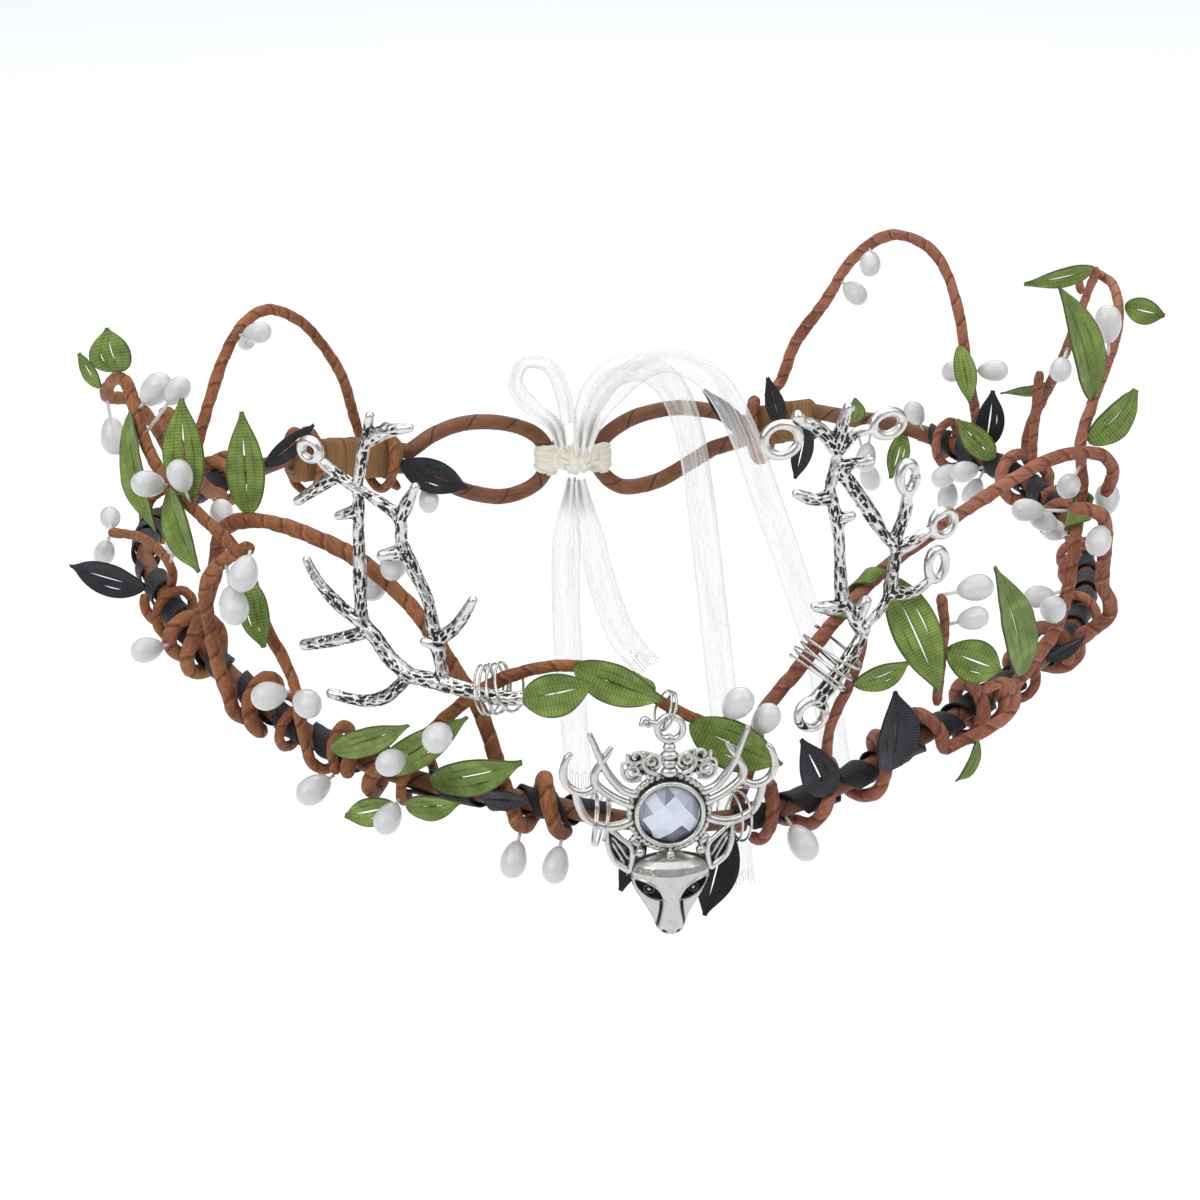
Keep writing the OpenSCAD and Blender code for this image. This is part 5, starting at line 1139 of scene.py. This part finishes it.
# Pendant.
# A deer's head cast in silver under a round setting, with branching antlers, scrolls and small balls
# about the stone. It hangs by its ring from a wire loop on the brow vine and is wired to the hoop.
PENDANT_AT = at([-0.6, 9.4, -15])
EGG_RINGS, EGG_SIDES, LATHE_SIDES = 14, 20, 48
PENDANT_VOXEL = 0.17


def on_pendant(places):
    """Places of across, towards the viewer and up, measured from the stone's middle."""
    return PENDANT_AT + np.asarray(places, float) * (1, -1, 1)


def plain(points, faces, **marks):
    """A part of the pendant without a place along or across: its UV is zero all over."""
    return {"points": on_pendant(points), "faces": faces, "uv": [np.zeros((*run.shape, 2)) for run in faces],
            **marks}


def egg(middle, half, spin=0.0):
    """A ball stretched to three half sizes: the sphere of two angles, turned by spin as the viewer sees
    it."""
    up = np.linspace(-np.pi / 2, np.pi / 2, EGG_RINGS + 2)[1:-1, None]
    turn = (np.arange(EGG_SIDES) * 2 * np.pi / EGG_SIDES)[None, :]
    ball = np.stack([np.cos(up) * np.cos(turn), -np.cos(up) * np.sin(turn), np.sin(up) + 0 * turn], -1)
    x, y, z = (np.vstack([ball.reshape(-1, 3), [0, 0, -1], [0, 0, 1]]) * half).T
    roll = np.radians(spin)
    x, z = x * np.cos(roll) + z * np.sin(roll), z * np.cos(roll) - x * np.sin(roll)
    return plain(np.stack([x, y, z], -1) + middle, tube(EGG_RINGS, EGG_SIDES)[0])


def rod(rows, radii, sides=12):
    """A bar through places on the pendant, on the smooth curve, with its radius between the rows' own."""
    line, place = smooth_line(rows, 14)
    return bar(on_pendant(line), np.interp(place, np.arange(len(rows)), radii), sides)


def rods(rows, radii):
    """The same rod on the left and on the right."""
    return [rod(np.array(rows) * (side, 1, 1), radii) for side in (1, -1)]


def eggs(middle, half, spin=0.0):
    """The same stretched ball on the left and on the right."""
    return [egg(np.array(middle) * (side, 1, 1), half, spin * side) for side in (1, -1)]


def ring_rod(middle, radius, thick, twist=0):
    """A ring that faces the viewer. Where it is twisted it is a rope of two strands, whose middles go round
    the ring's own middle as it goes round."""
    turn = np.linspace(0, 2 * np.pi, 121)
    strands = []
    for phase in ((0, np.pi) if twist else (0,)):
        wind, swing = turn * twist + phase, thick * 0.55 if twist else 0
        reach = radius + swing * np.cos(wind)
        line = np.stack([reach * np.cos(turn), swing * np.sin(wind), reach * np.sin(turn)], -1)
        strands.append(bar(on_pendant(line + middle), thick * (0.72 if twist else 1), 10))
    return strands


def lathe(profile):
    """A closed profile of radius and depth, turned about the viewer's line through the stone's middle."""
    reach, depth = np.asarray(profile, float).T[:, :, None]
    turn = np.arange(LATHE_SIDES) * 2 * np.pi / LATHE_SIDES
    points = np.stack([reach * np.cos(turn), depth + 0 * turn, reach * np.sin(turn)], -1).reshape(-1, 3)
    return plain(points, [grid(len(profile), LATHE_SIDES, True)[0]])


# The face's outline and relief, from brow to muzzle: height, half width, base depth, the nose's half width
# and the nose's own depth
FACE = np.array([
    [-7.3, 2.2, 1.9, 6.0, 0.0], [-7.8, 4.4, 2.9, 6.0, 0.1], [-8.6, 5.9, 3.5, 5.0, 0.4],
    [-9.8, 6.6, 3.8, 3.8, 0.7], [-11.2, 6.6, 3.5, 2.7, 1.0], [-12.6, 6.2, 3.1, 1.7, 1.35],
    [-14.3, 5.4, 2.8, 1.2, 1.6], [-16.2, 4.3, 2.6, 1.35, 1.6], [-18.2, 3.2, 2.4, 1.8, 1.5],
    [-19.6, 2.6, 2.2, 2.2, 1.4], [-20.6, 2.3, 2.0, 2.3, 1.2], [-21.2, 1.6, 1.6, 2.2, 0.7],
    [-21.5, 0.5, 1.0, 2.0, 0.2]])
EYE_INNER, EYE_OUTER = np.array([1.5, -14.5]), np.array([6.0, -11.0])
FACE_GRID = 150, 121


def deer_face():
    """The face as a relief: its front depth over across and up is the base times a rounded fall to the rim,
    with a bell for the nose, and its back is nearly flat. The eyes are almonds sunk between raised lids, each
    with a ringed ball, and grooves run from them down beside the nose to the nostrils."""
    rows, across = FACE_GRID
    z = np.linspace(FACE[0, 0], FACE[-1, 0], rows)[:, None]
    over = np.sin(np.linspace(-1, 1, across) * np.pi / 2)[None, :]
    half, base, nose_wide, nose_deep = (np.interp(-z, -FACE[:, 0], FACE[:, k]) for k in (1, 2, 3, 4))
    x = over * half
    side = np.abs(x)
    front = base * (1 - np.abs(over) ** 2.8).clip(0) ** 0.5
    front = front + nose_deep * np.exp(-(side / nose_wide) ** 2 * 1.3)
    way = unit(EYE_OUTER - EYE_INNER)
    middle, reach = (EYE_INNER + EYE_OUTER) / 2, np.linalg.norm(EYE_OUTER - EYE_INNER) / 2
    p = (side - middle[0]) * way[0] + (z - middle[1]) * way[1]
    q = -(side - middle[0]) * way[1] + (z - middle[1]) * way[0]
    lid = 1.15 * (1 - (p / reach) ** 2).clip(0) ** 0.8
    inside = np.clip((lid - np.abs(q)) / 0.3, 0, 1) * (np.abs(p) < reach)
    rim = np.exp(-((np.abs(q) - lid - 0.12) / 0.2) ** 2) * (np.abs(p) < reach + 0.3)
    ball = np.hypot(p + 0.1, q)
    pupil = 0.62 * np.exp(-(ball / 0.42) ** 4) + 0.45 * np.exp(-((ball - 0.82) / 0.16) ** 2)
    crease = np.interp(-z, (14.3, 16.5, 19.0, 20.2), (1.6, 1.75, 2.15, 2.3))
    groove = np.exp(-((side - crease) / 0.24) ** 2)
    groove = groove * np.clip((-z - 13.6) / 0.8, 0, 1) * np.clip((20.3 + z) / 0.8, 0, 1)
    nostril = np.exp(-((side - 1.15) / 0.36) ** 2 - ((z + 20.5) / 0.3) ** 2)
    cleft = np.exp(-(side / 0.15) ** 2) * np.clip((-z - 20.3) / 0.5, 0, 1)
    sunk = inside * (0.95 - pupil) + 0.42 * groove + 0.7 * nostril + 0.25 * cleft
    stipple = (noise(x * 3.4, z * 3.4, seed=15) - 0.5) * 0.07 * (side > 1.9)
    front = np.maximum(front - sunk + 0.34 * rim + stipple, -0.4)
    back_depth = -0.9 + 0.5 * over ** 2 + 0 * x
    places = np.concatenate([np.stack([x, front, z + 0 * x], -1),
                             np.stack([x, back_depth, z + 0 * x], -1)[:, ::-1]], 1)
    quads = grid(rows, 2 * across, True)[0]
    k, last = np.arange(across - 1), (rows - 1) * 2 * across
    top = np.stack([k, 2 * across - 1 - k, 2 * across - 2 - k, k + 1], -1)
    low = np.stack([k, k + 1, 2 * across - 2 - k, 2 * across - 1 - k], -1) + last
    dark = inside * (1 - 1.8 * pupil).clip(0) + 0.5 * groove + 0.8 * nostril + 0.4 * cleft
    # Painted shade on the face's outline, where it turns away
    rim_shade = np.clip((np.abs(over) - 0.93) / 0.07, 0, 1) * 0.5
    pit = np.concatenate([(dark + rim_shade - 0.4 * rim).clip(0) * 0.16, 0 * sunk], 1)
    return plain(places.reshape(-1, 3), [quads[:, ::-1], top[:, ::-1], low[:, ::-1]], pit=pit.ravel())


def spiral(middle, radius, turns, start, sign=1.0):
    """A small scroll: a rod whose distance from the middle falls evenly as it turns."""
    share = np.linspace(0, 1, 15)
    turn = np.radians(start) + sign * turns * 2 * np.pi * share
    reach = radius * (1 - 0.8 * share)
    line = np.stack([reach * np.cos(turn), 0.45 * share, reach * np.sin(turn)], -1) + middle
    return rod(line, 0.36 - 0.06 * share, 8)


def scrolls(middle, radius, turns, start, sign=1.0):
    """The same scroll on the left and on the right."""
    return [spiral(middle, radius, turns, start, sign),
            spiral((-middle[0], middle[1], middle[2]), radius, turns, 180 - start, -sign)]


ear_parts = [
    *rods([(6.6, 0.5, -10.2), (9.2, 0.6, -8.0), (10.3, 0.6, -5.0), (10.3, 0.4, -2.3)],
          (0.6, 0.55, 0.45, 0.3)),
    *rods([(6.6, 0.5, -10.2), (6.2, 0.6, -7.9), (6.4, 0.6, -5.8), (8.2, 0.6, -4.0), (10.3, 0.4, -2.3)],
          (0.6, 0.6, 0.5, 0.42, 0.3)),
    *eggs((8.2, -0.1, -6.2), (1.6, 0.35, 3.9), spin=26),
    *rods([(6.8, 0.35, -8.2), (8.3, 0.35, -5.6), (9.7, 0.3, -3.6)], (0.2, 0.2, 0.14)),
    *rods([(7.4, 0.35, -8.8), (8.9, 0.35, -6.2), (9.9, 0.3, -4.0)], (0.2, 0.2, 0.14)),
]
antler_parts = [
    *rods([(5.6, 0, -1), (8.4, 0.2, -2.0), (11.2, 0.2, -1.8), (13.8, 0.2, -0.2), (15.0, 0.1, 2.4),
           (15.4, 0, 4.6)], (0.8, 0.8, 0.75, 0.72, 0.72, 0.7)),
    *rods([(4.8, 0, 3.2), (7.4, 0.2, 4.2), (9.2, 0.3, 6.2), (10.8, 0.2, 9.0), (13.0, 0, 14.6)],
          (0.75, 0.75, 0.75, 0.7, 0.5)),
    *rods([(5.4, 0, 1.2), (9.0, 0.2, 3.0), (11.8, 0.2, 5.4), (12.2, 0.1, 7.4), (11.0, 0.1, 9.3)],
          (0.75, 0.75, 0.75, 0.72, 0.7)),
    *rods([(11.9, 0.1, 5.2), (14.0, 0.1, 4.2), (16.2, 0, 5.0), (17.4, 0, 7.4), (16.8, 0, 10.2),
           (15.9, 0, 11.2)], (0.7, 0.72, 0.72, 0.7, 0.6, 0.4)),
    *rods([(11.2, 0.1, 9.4), (10.2, 0.1, 10.6), (9.4, 0, 12.0)], (0.65, 0.6, 0.45)),
]
scroll_parts = [
    egg((0, 0.6, 7.4), (1.5, 1.2, 1.0)), egg((0, 0.5, 8.9), (1.25, 1.1, 0.85)),
    egg((0, 0.4, 10.3), (1.5, 1.1, 0.8)), egg((0, 0.3, 11.6), (1.1, 0.9, 0.75)),
    egg((0, 0.1, 12.7), (0.7, 0.7, 0.7)), egg((0, 1.5, -7.0), (0.8, 0.8, 0.8)),
    rod([(0, 0.9, -5.6), (0, 1.4, -6.6)], (0.35, 0.3)),
    *eggs((5.0, 1.0, -6.6), (0.85, 0.85, 0.85)), *eggs((5.6, 0.2, -5.2), (0.7, 0.7, 1.3), spin=40),
    *eggs((4.2, -0.5, 8.7), (3.0, 0.5, 2.2), spin=-12),
    *scrolls((5.8, 0.3, 7.7), 1.5, 1.4, 200), *scrolls((5.4, 0.3, 10.3), 1.5, 1.3, 20, -1.0),
    *scrolls((2.8, 0.4, 9.4), 1.45, 1.3, 250, -1.0), *scrolls((3.2, 0.3, 7.0), 0.9, 1.1, 90),
    *rods([(2.0, 0.8, 7.0), (3.6, 1.0, 7.9), (4.3, 0.9, 9.2), (4.0, 0.6, 11.4)], (0.4, 0.4, 0.34, 0.22)),
    *rods([(4.6, 0.5, 6.2), (6.4, 0.5, 6.0), (7.5, 0.4, 6.9), (7.7, 0.3, 8.9), (6.9, 0.3, 9.3)],
          (0.4, 0.36, 0.34, 0.3, 0.3)),
]
setting_parts = [
    lathe([(0.02, -1.9), (6.1, -1.9), (6.6, -1.5), (6.75, -0.2), (6.3, 0.5), (5.8, 0.7), (5.55, 1.45),
           (5.2, 1.3), (5.15, -0.9), (0.02, -1.1)]),
    *ring_rod((0, 1.25, 0), 5.5, 0.4, twist=30), *ring_rod((0, 0.1, 0), 6.55, 0.5, twist=21),
]
bail_parts = [
    *ring_rod((0.2, 0, 14.8), 2.1, 0.6), egg((0, 0, 12.9), (0.8, 0.8, 1.0)),
    rod([(-1.6, 0, 15.4), (-2.6, 0, 15.8), (-3.6, 0, 16.2)], (0.5, 0.5, 0.6)),
    egg((-3.9, 0, 16.4), (0.85, 0.6, 0.75)), egg((-3.4, 0.3, 15.6), (0.55, 0.5, 0.5)),
    egg((-4.5, 0.3, 15.9), (0.5, 0.5, 0.5)),
]


def worn(places):
    """A slight unevenness all over."""
    return (noise(*places.T / 0.9, seed=16) - 0.5) * 0.04


pendant_silver = cast_silver("silver_pendant", (0.014, 0.013, 0.012), (0.64, 0.625, 0.60), 0.3)
cast("pendant_cast", ear_parts + antler_parts + scroll_parts + setting_parts + bail_parts, PENDANT_VOXEL,
     pendant_silver, "pendant", worn)
piece("pendant_face", [deer_face()], pendant_silver, "pendant")


# Stone.
# A round of pale lilac-blue glass, 10 mm across, domed and cut in small facets like a checkerboard.
# It lies in the setting's cup on dark foil.
STONE_R, STONE_TOP, GIRDLE, CONE = 5.0, 2.9, 0.7, 1.6
FACET, FACET_TURN, FACET_SHIFT = 2.3, 38, (0.4, 0.3)


def cut_stone():
    """A dome cut like a checkerboard: a square lattice, turned as seen by the viewer, whose points outside
    the round are drawn in to its rim. The dome falls from its top as the square of the share of the radius,
    which keeps each square flat, and the back is a shallow cone."""
    up, across = np.meshgrid(np.arange(-3, 4) * FACET, np.arange(-3, 4) * FACET, indexing="ij")
    cos, sin = np.cos(np.radians(FACET_TURN)), np.sin(np.radians(FACET_TURN))
    flat = np.stack([FACET_SHIFT[0] + across * cos - up * sin, FACET_SHIFT[1] + across * sin + up * cos],
                    -1).reshape(-1, 2)
    share = np.linalg.norm(flat, axis=1) / STONE_R
    flat, share = flat / np.maximum(share, 1)[:, None], np.minimum(share, 1)
    top = np.stack([flat[:, 0], GIRDLE + (STONE_TOP - GIRDLE) * (1 - share ** 2), flat[:, 1]], -1)
    back = np.stack([flat[:, 0], GIRDLE - CONE * (1 - share), flat[:, 1]], -1)
    quads = grid(7, 7)[0]
    quads = quads[(share[quads] < 1).any(1)]
    corners = np.vstack([top[quads.ravel()], back[quads[:, ::-1].ravel()]])
    kept, same = weld(corners)
    return plain(corners[kept], [same.reshape(-1, 4)])


def pale_glass(name):
    """Pale cut glass over dark foil: the facets that face the viewer are near white as a painted reflection,
    the others each take their own share of lilac and blue by their facing as painted reflections, and are
    darker below as painted shade, under a clear, bright surface."""
    material, shader, place, _, _ = finish_of(name, Coat_Weight=1.0, Coat_Roughness=0.02, IOR=1.6)
    normal = place.add("NewGeometry", out=3)
    facet = normal.noise(5.2, 1.0)
    split = normal.add("SeparateXYZ", {}, {0: normal})
    facing, upward = split.other(1), split.other(2)
    # Painted reflections and shade: each facet's share by its normal, lighter on upward facets and darker
    # below
    tint = (facet + upward * 0.35).step(0.3, 0.66).mix((0.10, 0.115, 0.17), (0.42, 0.45, 0.57))
    # Painted reflection: the facets that face the viewer are near white
    colour = (facet * 0.35 - facing).step(1.02, 1.06).mix(tint, (0.70, 0.73, 0.84))
    feed(shader, Base_Color=colour, Roughness=0.03 + place.noise(300.0, 2.0) * 0.06)
    return material


piece("stone_cut", [cut_stone()], pale_glass("glass_lilac"), "stone", smooth=False)


# Organza.
# A narrow ribbon of cream-white organza, sheer, with denser woven edges. It is tied round the two
# eyes with a hard knot between them, gathered lengthwise by the tying, and its ends hang down and fray.
RIBBON_CUT, RIBBON_FOLDED, TAIL_STEP, FRAY_EVERY = 10.0, 6.0, 0.8, 3
# The cloth's thickness, in metres
TAIL_WALL, KNOT_WALL = 0.00012, 0.0003
KNOT, TO_VIEWER = np.array([0, 86.4, -15.6]), np.array([0, -1.0, 0])

tail_rows = [[[-1, 84.4, -19.4], [-2, 83.4, -30], [-2.6, 82.8, -42], [-2.4, 82.6, -56], [-1.4, 82.6, -72],
    [-0.6, 82.6, -90]], [[0.8, 83.1, -19.4], [2.4, 81.8, -30], [5, 81.2, -42], [9, 81, -54],
    [14.6, 80.8, -62]], [[0.8, 83.1, -13.2], [1, 82, -11], [2.6, 81.4, -3], [7, 81, 3.6], [13.6, 80, 5.6],
    [19.6, 79.4, 1.6], [23.4, 79, -8], [25.6, 78.6, -22], [27.6, 78.4, -40], [29.6, 78.4, -60],
    [31.6, 78.4, -80], [34.6, 78.4, -113]], [[2, 80.4, -12], [5, 79.4, -2.4], [11.4, 77, 5.4], [19, 75, 8.6],
    [27.6, 72.6, 4.6], [33.6, 70.6, -6], [39, 69.4, -22], [45, 69, -40], [50.4, 69, -58], [54.6, 69, -88]]]
bow_rows = [[-2.9, 82.4, -12], [-4.4, 83.2, -7], [-9, 83.2, -3], [-12.4, 83.2, 2], [-10.6, 83.2, 6.6],
    [-5.4, 83.2, 6], [-2.6, 83.2, 0], [-1.4, 83, -7]]


def organza(name, clear, tint, light):
    """Sheer organza: open between its threads, denser at the woven edges, along gathered folds and at frayed
    ends, with a soft silky shine."""
    material, shader, _, along, across = finish_of(name, Specular_IOR_Level=0.3, Sheen_Weight=0.35)
    fold = (along * 0.05).beside(across * 0.7).noise(1.3, 2.0, 0.5)
    thread = (across * (2 * math.pi / RIB_PITCH)).maths("SINE") * 0.5 + 0.5
    cover = fold.step(0.35, 0.8) * (1 - clear) * 0.36 + thread * 0.04 + clear
    cover = (cover + along.mark("edge") * 0.4 + along.mark("dense")).maths("MINIMUM", 1.0)
    feed(shader, Base_Color=fold.step(0.3, 0.7).mix(tint, light), Alpha=cover, Roughness=0.36 + fold * 0.2,
         Normal=(fold * 0.8 + thread * 0.2).bump(0.00014, 0.5))
    return material


def gathered(rows, half_wide, seed, fray):
    """A ribbon along points of across, back and up. Across it is a wave as long as the ribbon is wide,
    squeezed to half_wide on each side of the line: the sideways place runs from edge to edge, and the depth
    is a sine of it, deep enough that the length across stays the cut's. The wave moves slowly along the
    ribbon."""
    line = even(smooth_line(rows, 40)[0], TAIL_STEP)
    far = lengths(line)[:, None]
    along = unit(np.gradient(line, axis=0))
    face = square_to(np.array([0, -1.0, 0]), along)
    side = np.cross(along, face)
    over = np.linspace(-1, 1, 33)[None, :]
    half = np.minimum(half_wide, 1.1 + far * 0.14)
    slow = noise(far / 16, seed=seed)
    folds = 1.4 + 0.5 * slow
    phase = seed + slow * 2.6 + far / 60
    # the depth that gives the wave the cut's length across, by its own length at the middle of the ribbon
    deep = np.sqrt(np.maximum((RIBBON_CUT / (2 * half)) ** 2 - 1, 0)) * half / (folds * np.pi) * 1.32
    depth = np.minimum(deep, 1.25) * np.sin(over * folds * np.pi + phase)
    sway = (noise(far / 5, over * 1.4, seed=seed + 4) - 0.5) * 0.5
    points = (line[:, None] + (over * half)[..., None] * side[:, None]
              + (depth + sway)[..., None] * face[:, None])
    # the far end is cut at a slant and frays into threads
    quads, rows_at, columns_at = grid(len(line), over.shape[1])
    left = far[-1] - far + 0 * over
    cut_edge = 1.2 * fray + noise(over * 9, seed=seed + 6) * 5.0 * fray + over * 2.0 * fray
    face_left, face_cut = left[rows_at, columns_at].mean(1), cut_edge[0, columns_at].mean(1)
    keep = (face_left > face_cut) | ((columns_at[:, 0] % FRAY_EVERY == 0) & (face_left > face_cut - 5 * fray))
    quads, rows_at, columns_at = quads[keep], rows_at[keep], columns_at[keep]
    used, quads = np.unique(quads, return_inverse=True)
    edge = np.broadcast_to(np.abs(over) ** 12, depth.shape).ravel()[used]
    dense = (0.9 * (1 - np.clip(far / 9, 0, 1)) + 0 * over + (left < cut_edge) * 0.5).ravel()[used].clip(0, 1)
    uv = np.stack([far[rows_at, 0], over[0, columns_at] * RIBBON_CUT / 2], -1)
    return {"points": points.reshape(-1, 3)[used], "faces": [quads.reshape(-1, 4)], "uv": [uv], "edge": edge,
            "dense": dense}, far[-1, 0]


tail_organza = organza("organza_cream", 0.17, (0.86, 0.85, 0.81), (0.96, 0.955, 0.94))
TAILS = dict(zip(("tail_left", "tail_centre", "tail_right", "tail_far_right"), tail_rows))
for number, (name, rows) in enumerate({**TAILS, "tie_bow": bow_rows}.items()):
    tail = name in TAILS
    ribbon, length = gathered(rows, RIBBON_FOLDED / 2 if tail else 1.6, number + 1, fray=float(tail))
    made = piece(name + "_ribbon", [ribbon], tail_organza, name)
    length / 1000
    cloth_wall(made, TAIL_WALL)


def turn_of_ribbon(middle, axis, reach, wide, turns, seed):
    """One tight turn of ribbon round an axis, crumpled lengthwise: the radius follows an oval of the two
    reaches and falls and rises in folds along the width."""
    turn = np.linspace(0, turns * 2 * np.pi, int(turns * 56) + 1)[:, None]
    over = np.linspace(-1, 1, 17)[None, :]
    axis = unit(np.asarray(axis, float))
    face = square_to(TO_VIEWER, axis)
    side = np.cross(axis, face)
    r = 1 + (noise(turn * 1.2, over * 4.5, seed=seed) - 0.5) * 0.34 - 0.22 * over ** 2
    shift = over * wide + (turn / (turns * 2 * np.pi) - 0.5) * wide * 0.5
    points = (middle + shift[..., None] * axis + (r * reach[0] * np.cos(turn))[..., None] * face
              + (r * reach[1] * np.sin(turn))[..., None] * side)
    quads, rows_at, columns_at = grid(*r.shape)
    uv = np.stack([turn[rows_at, 0] * reach[0], over[0, columns_at] * RIBBON_CUT / 2], -1)
    edge = np.broadcast_to(np.abs(over) ** 10, r.shape).ravel()
    return {"points": points.reshape(-1, 3), "faces": [quads], "uv": [uv], "edge": edge,
            "dense": np.ones(r.size)}


knot_parts = [
    turn_of_ribbon(KNOT + (0, -0.6, 0), (1, 0, 0.25), (3.0, 3.1), 1.8, 1.6, 31),
    turn_of_ribbon(KNOT + (-0.6, -0.4, 0.2), (0.5, 0, 1), (2.7, 3.2), 1.7, 1.3, 32),
    turn_of_ribbon(KNOT + (0.6, -0.6, -0.4), (-0.4, 0, 1), (2.5, 2.9), 1.9, 1.2, 33),
]
for k, (hitch, sign) in enumerate(((at([-176.2, 0, -15.6]), 1), (at([176.7, 0, -15.6]), -1))):
    for j, up in enumerate((-1.5, 0.1, 1.6)):
        knot_parts.append(turn_of_ribbon(hitch + (0, 0, up), (0.1 * sign, 0, 1), (2.5, 2.5), 1.5, 1.4,
                                         40 + 3 * k + j))
    middle = (hitch + KNOT) / 2 + (0, -0.4, 0)
    knot_parts.append(turn_of_ribbon(middle, KNOT - hitch, (2.0, 2.3), 2.4, 1.3, 50 + k))
knot_organza = organza("organza_knot", 0.8, (0.78, 0.74, 0.60), (0.95, 0.93, 0.85))
cloth_wall(piece("tie_knot_ribbon", knot_parts, knot_organza, "tie_knot"), KNOT_WALL)


# The pale floor's own finish, faintly uneven
floor_paint, floor_shader, floor_place, _, _ = finish_of("floor_paint", Roughness=0.6, Specular_IOR_Level=0.2)
feed(floor_shader, Base_Color=floor_place.noise(3.0, 2.0).mix((0.90, 0.91, 0.92), (0.93, 0.94, 0.95)))
floor.data.materials.append(floor_paint)
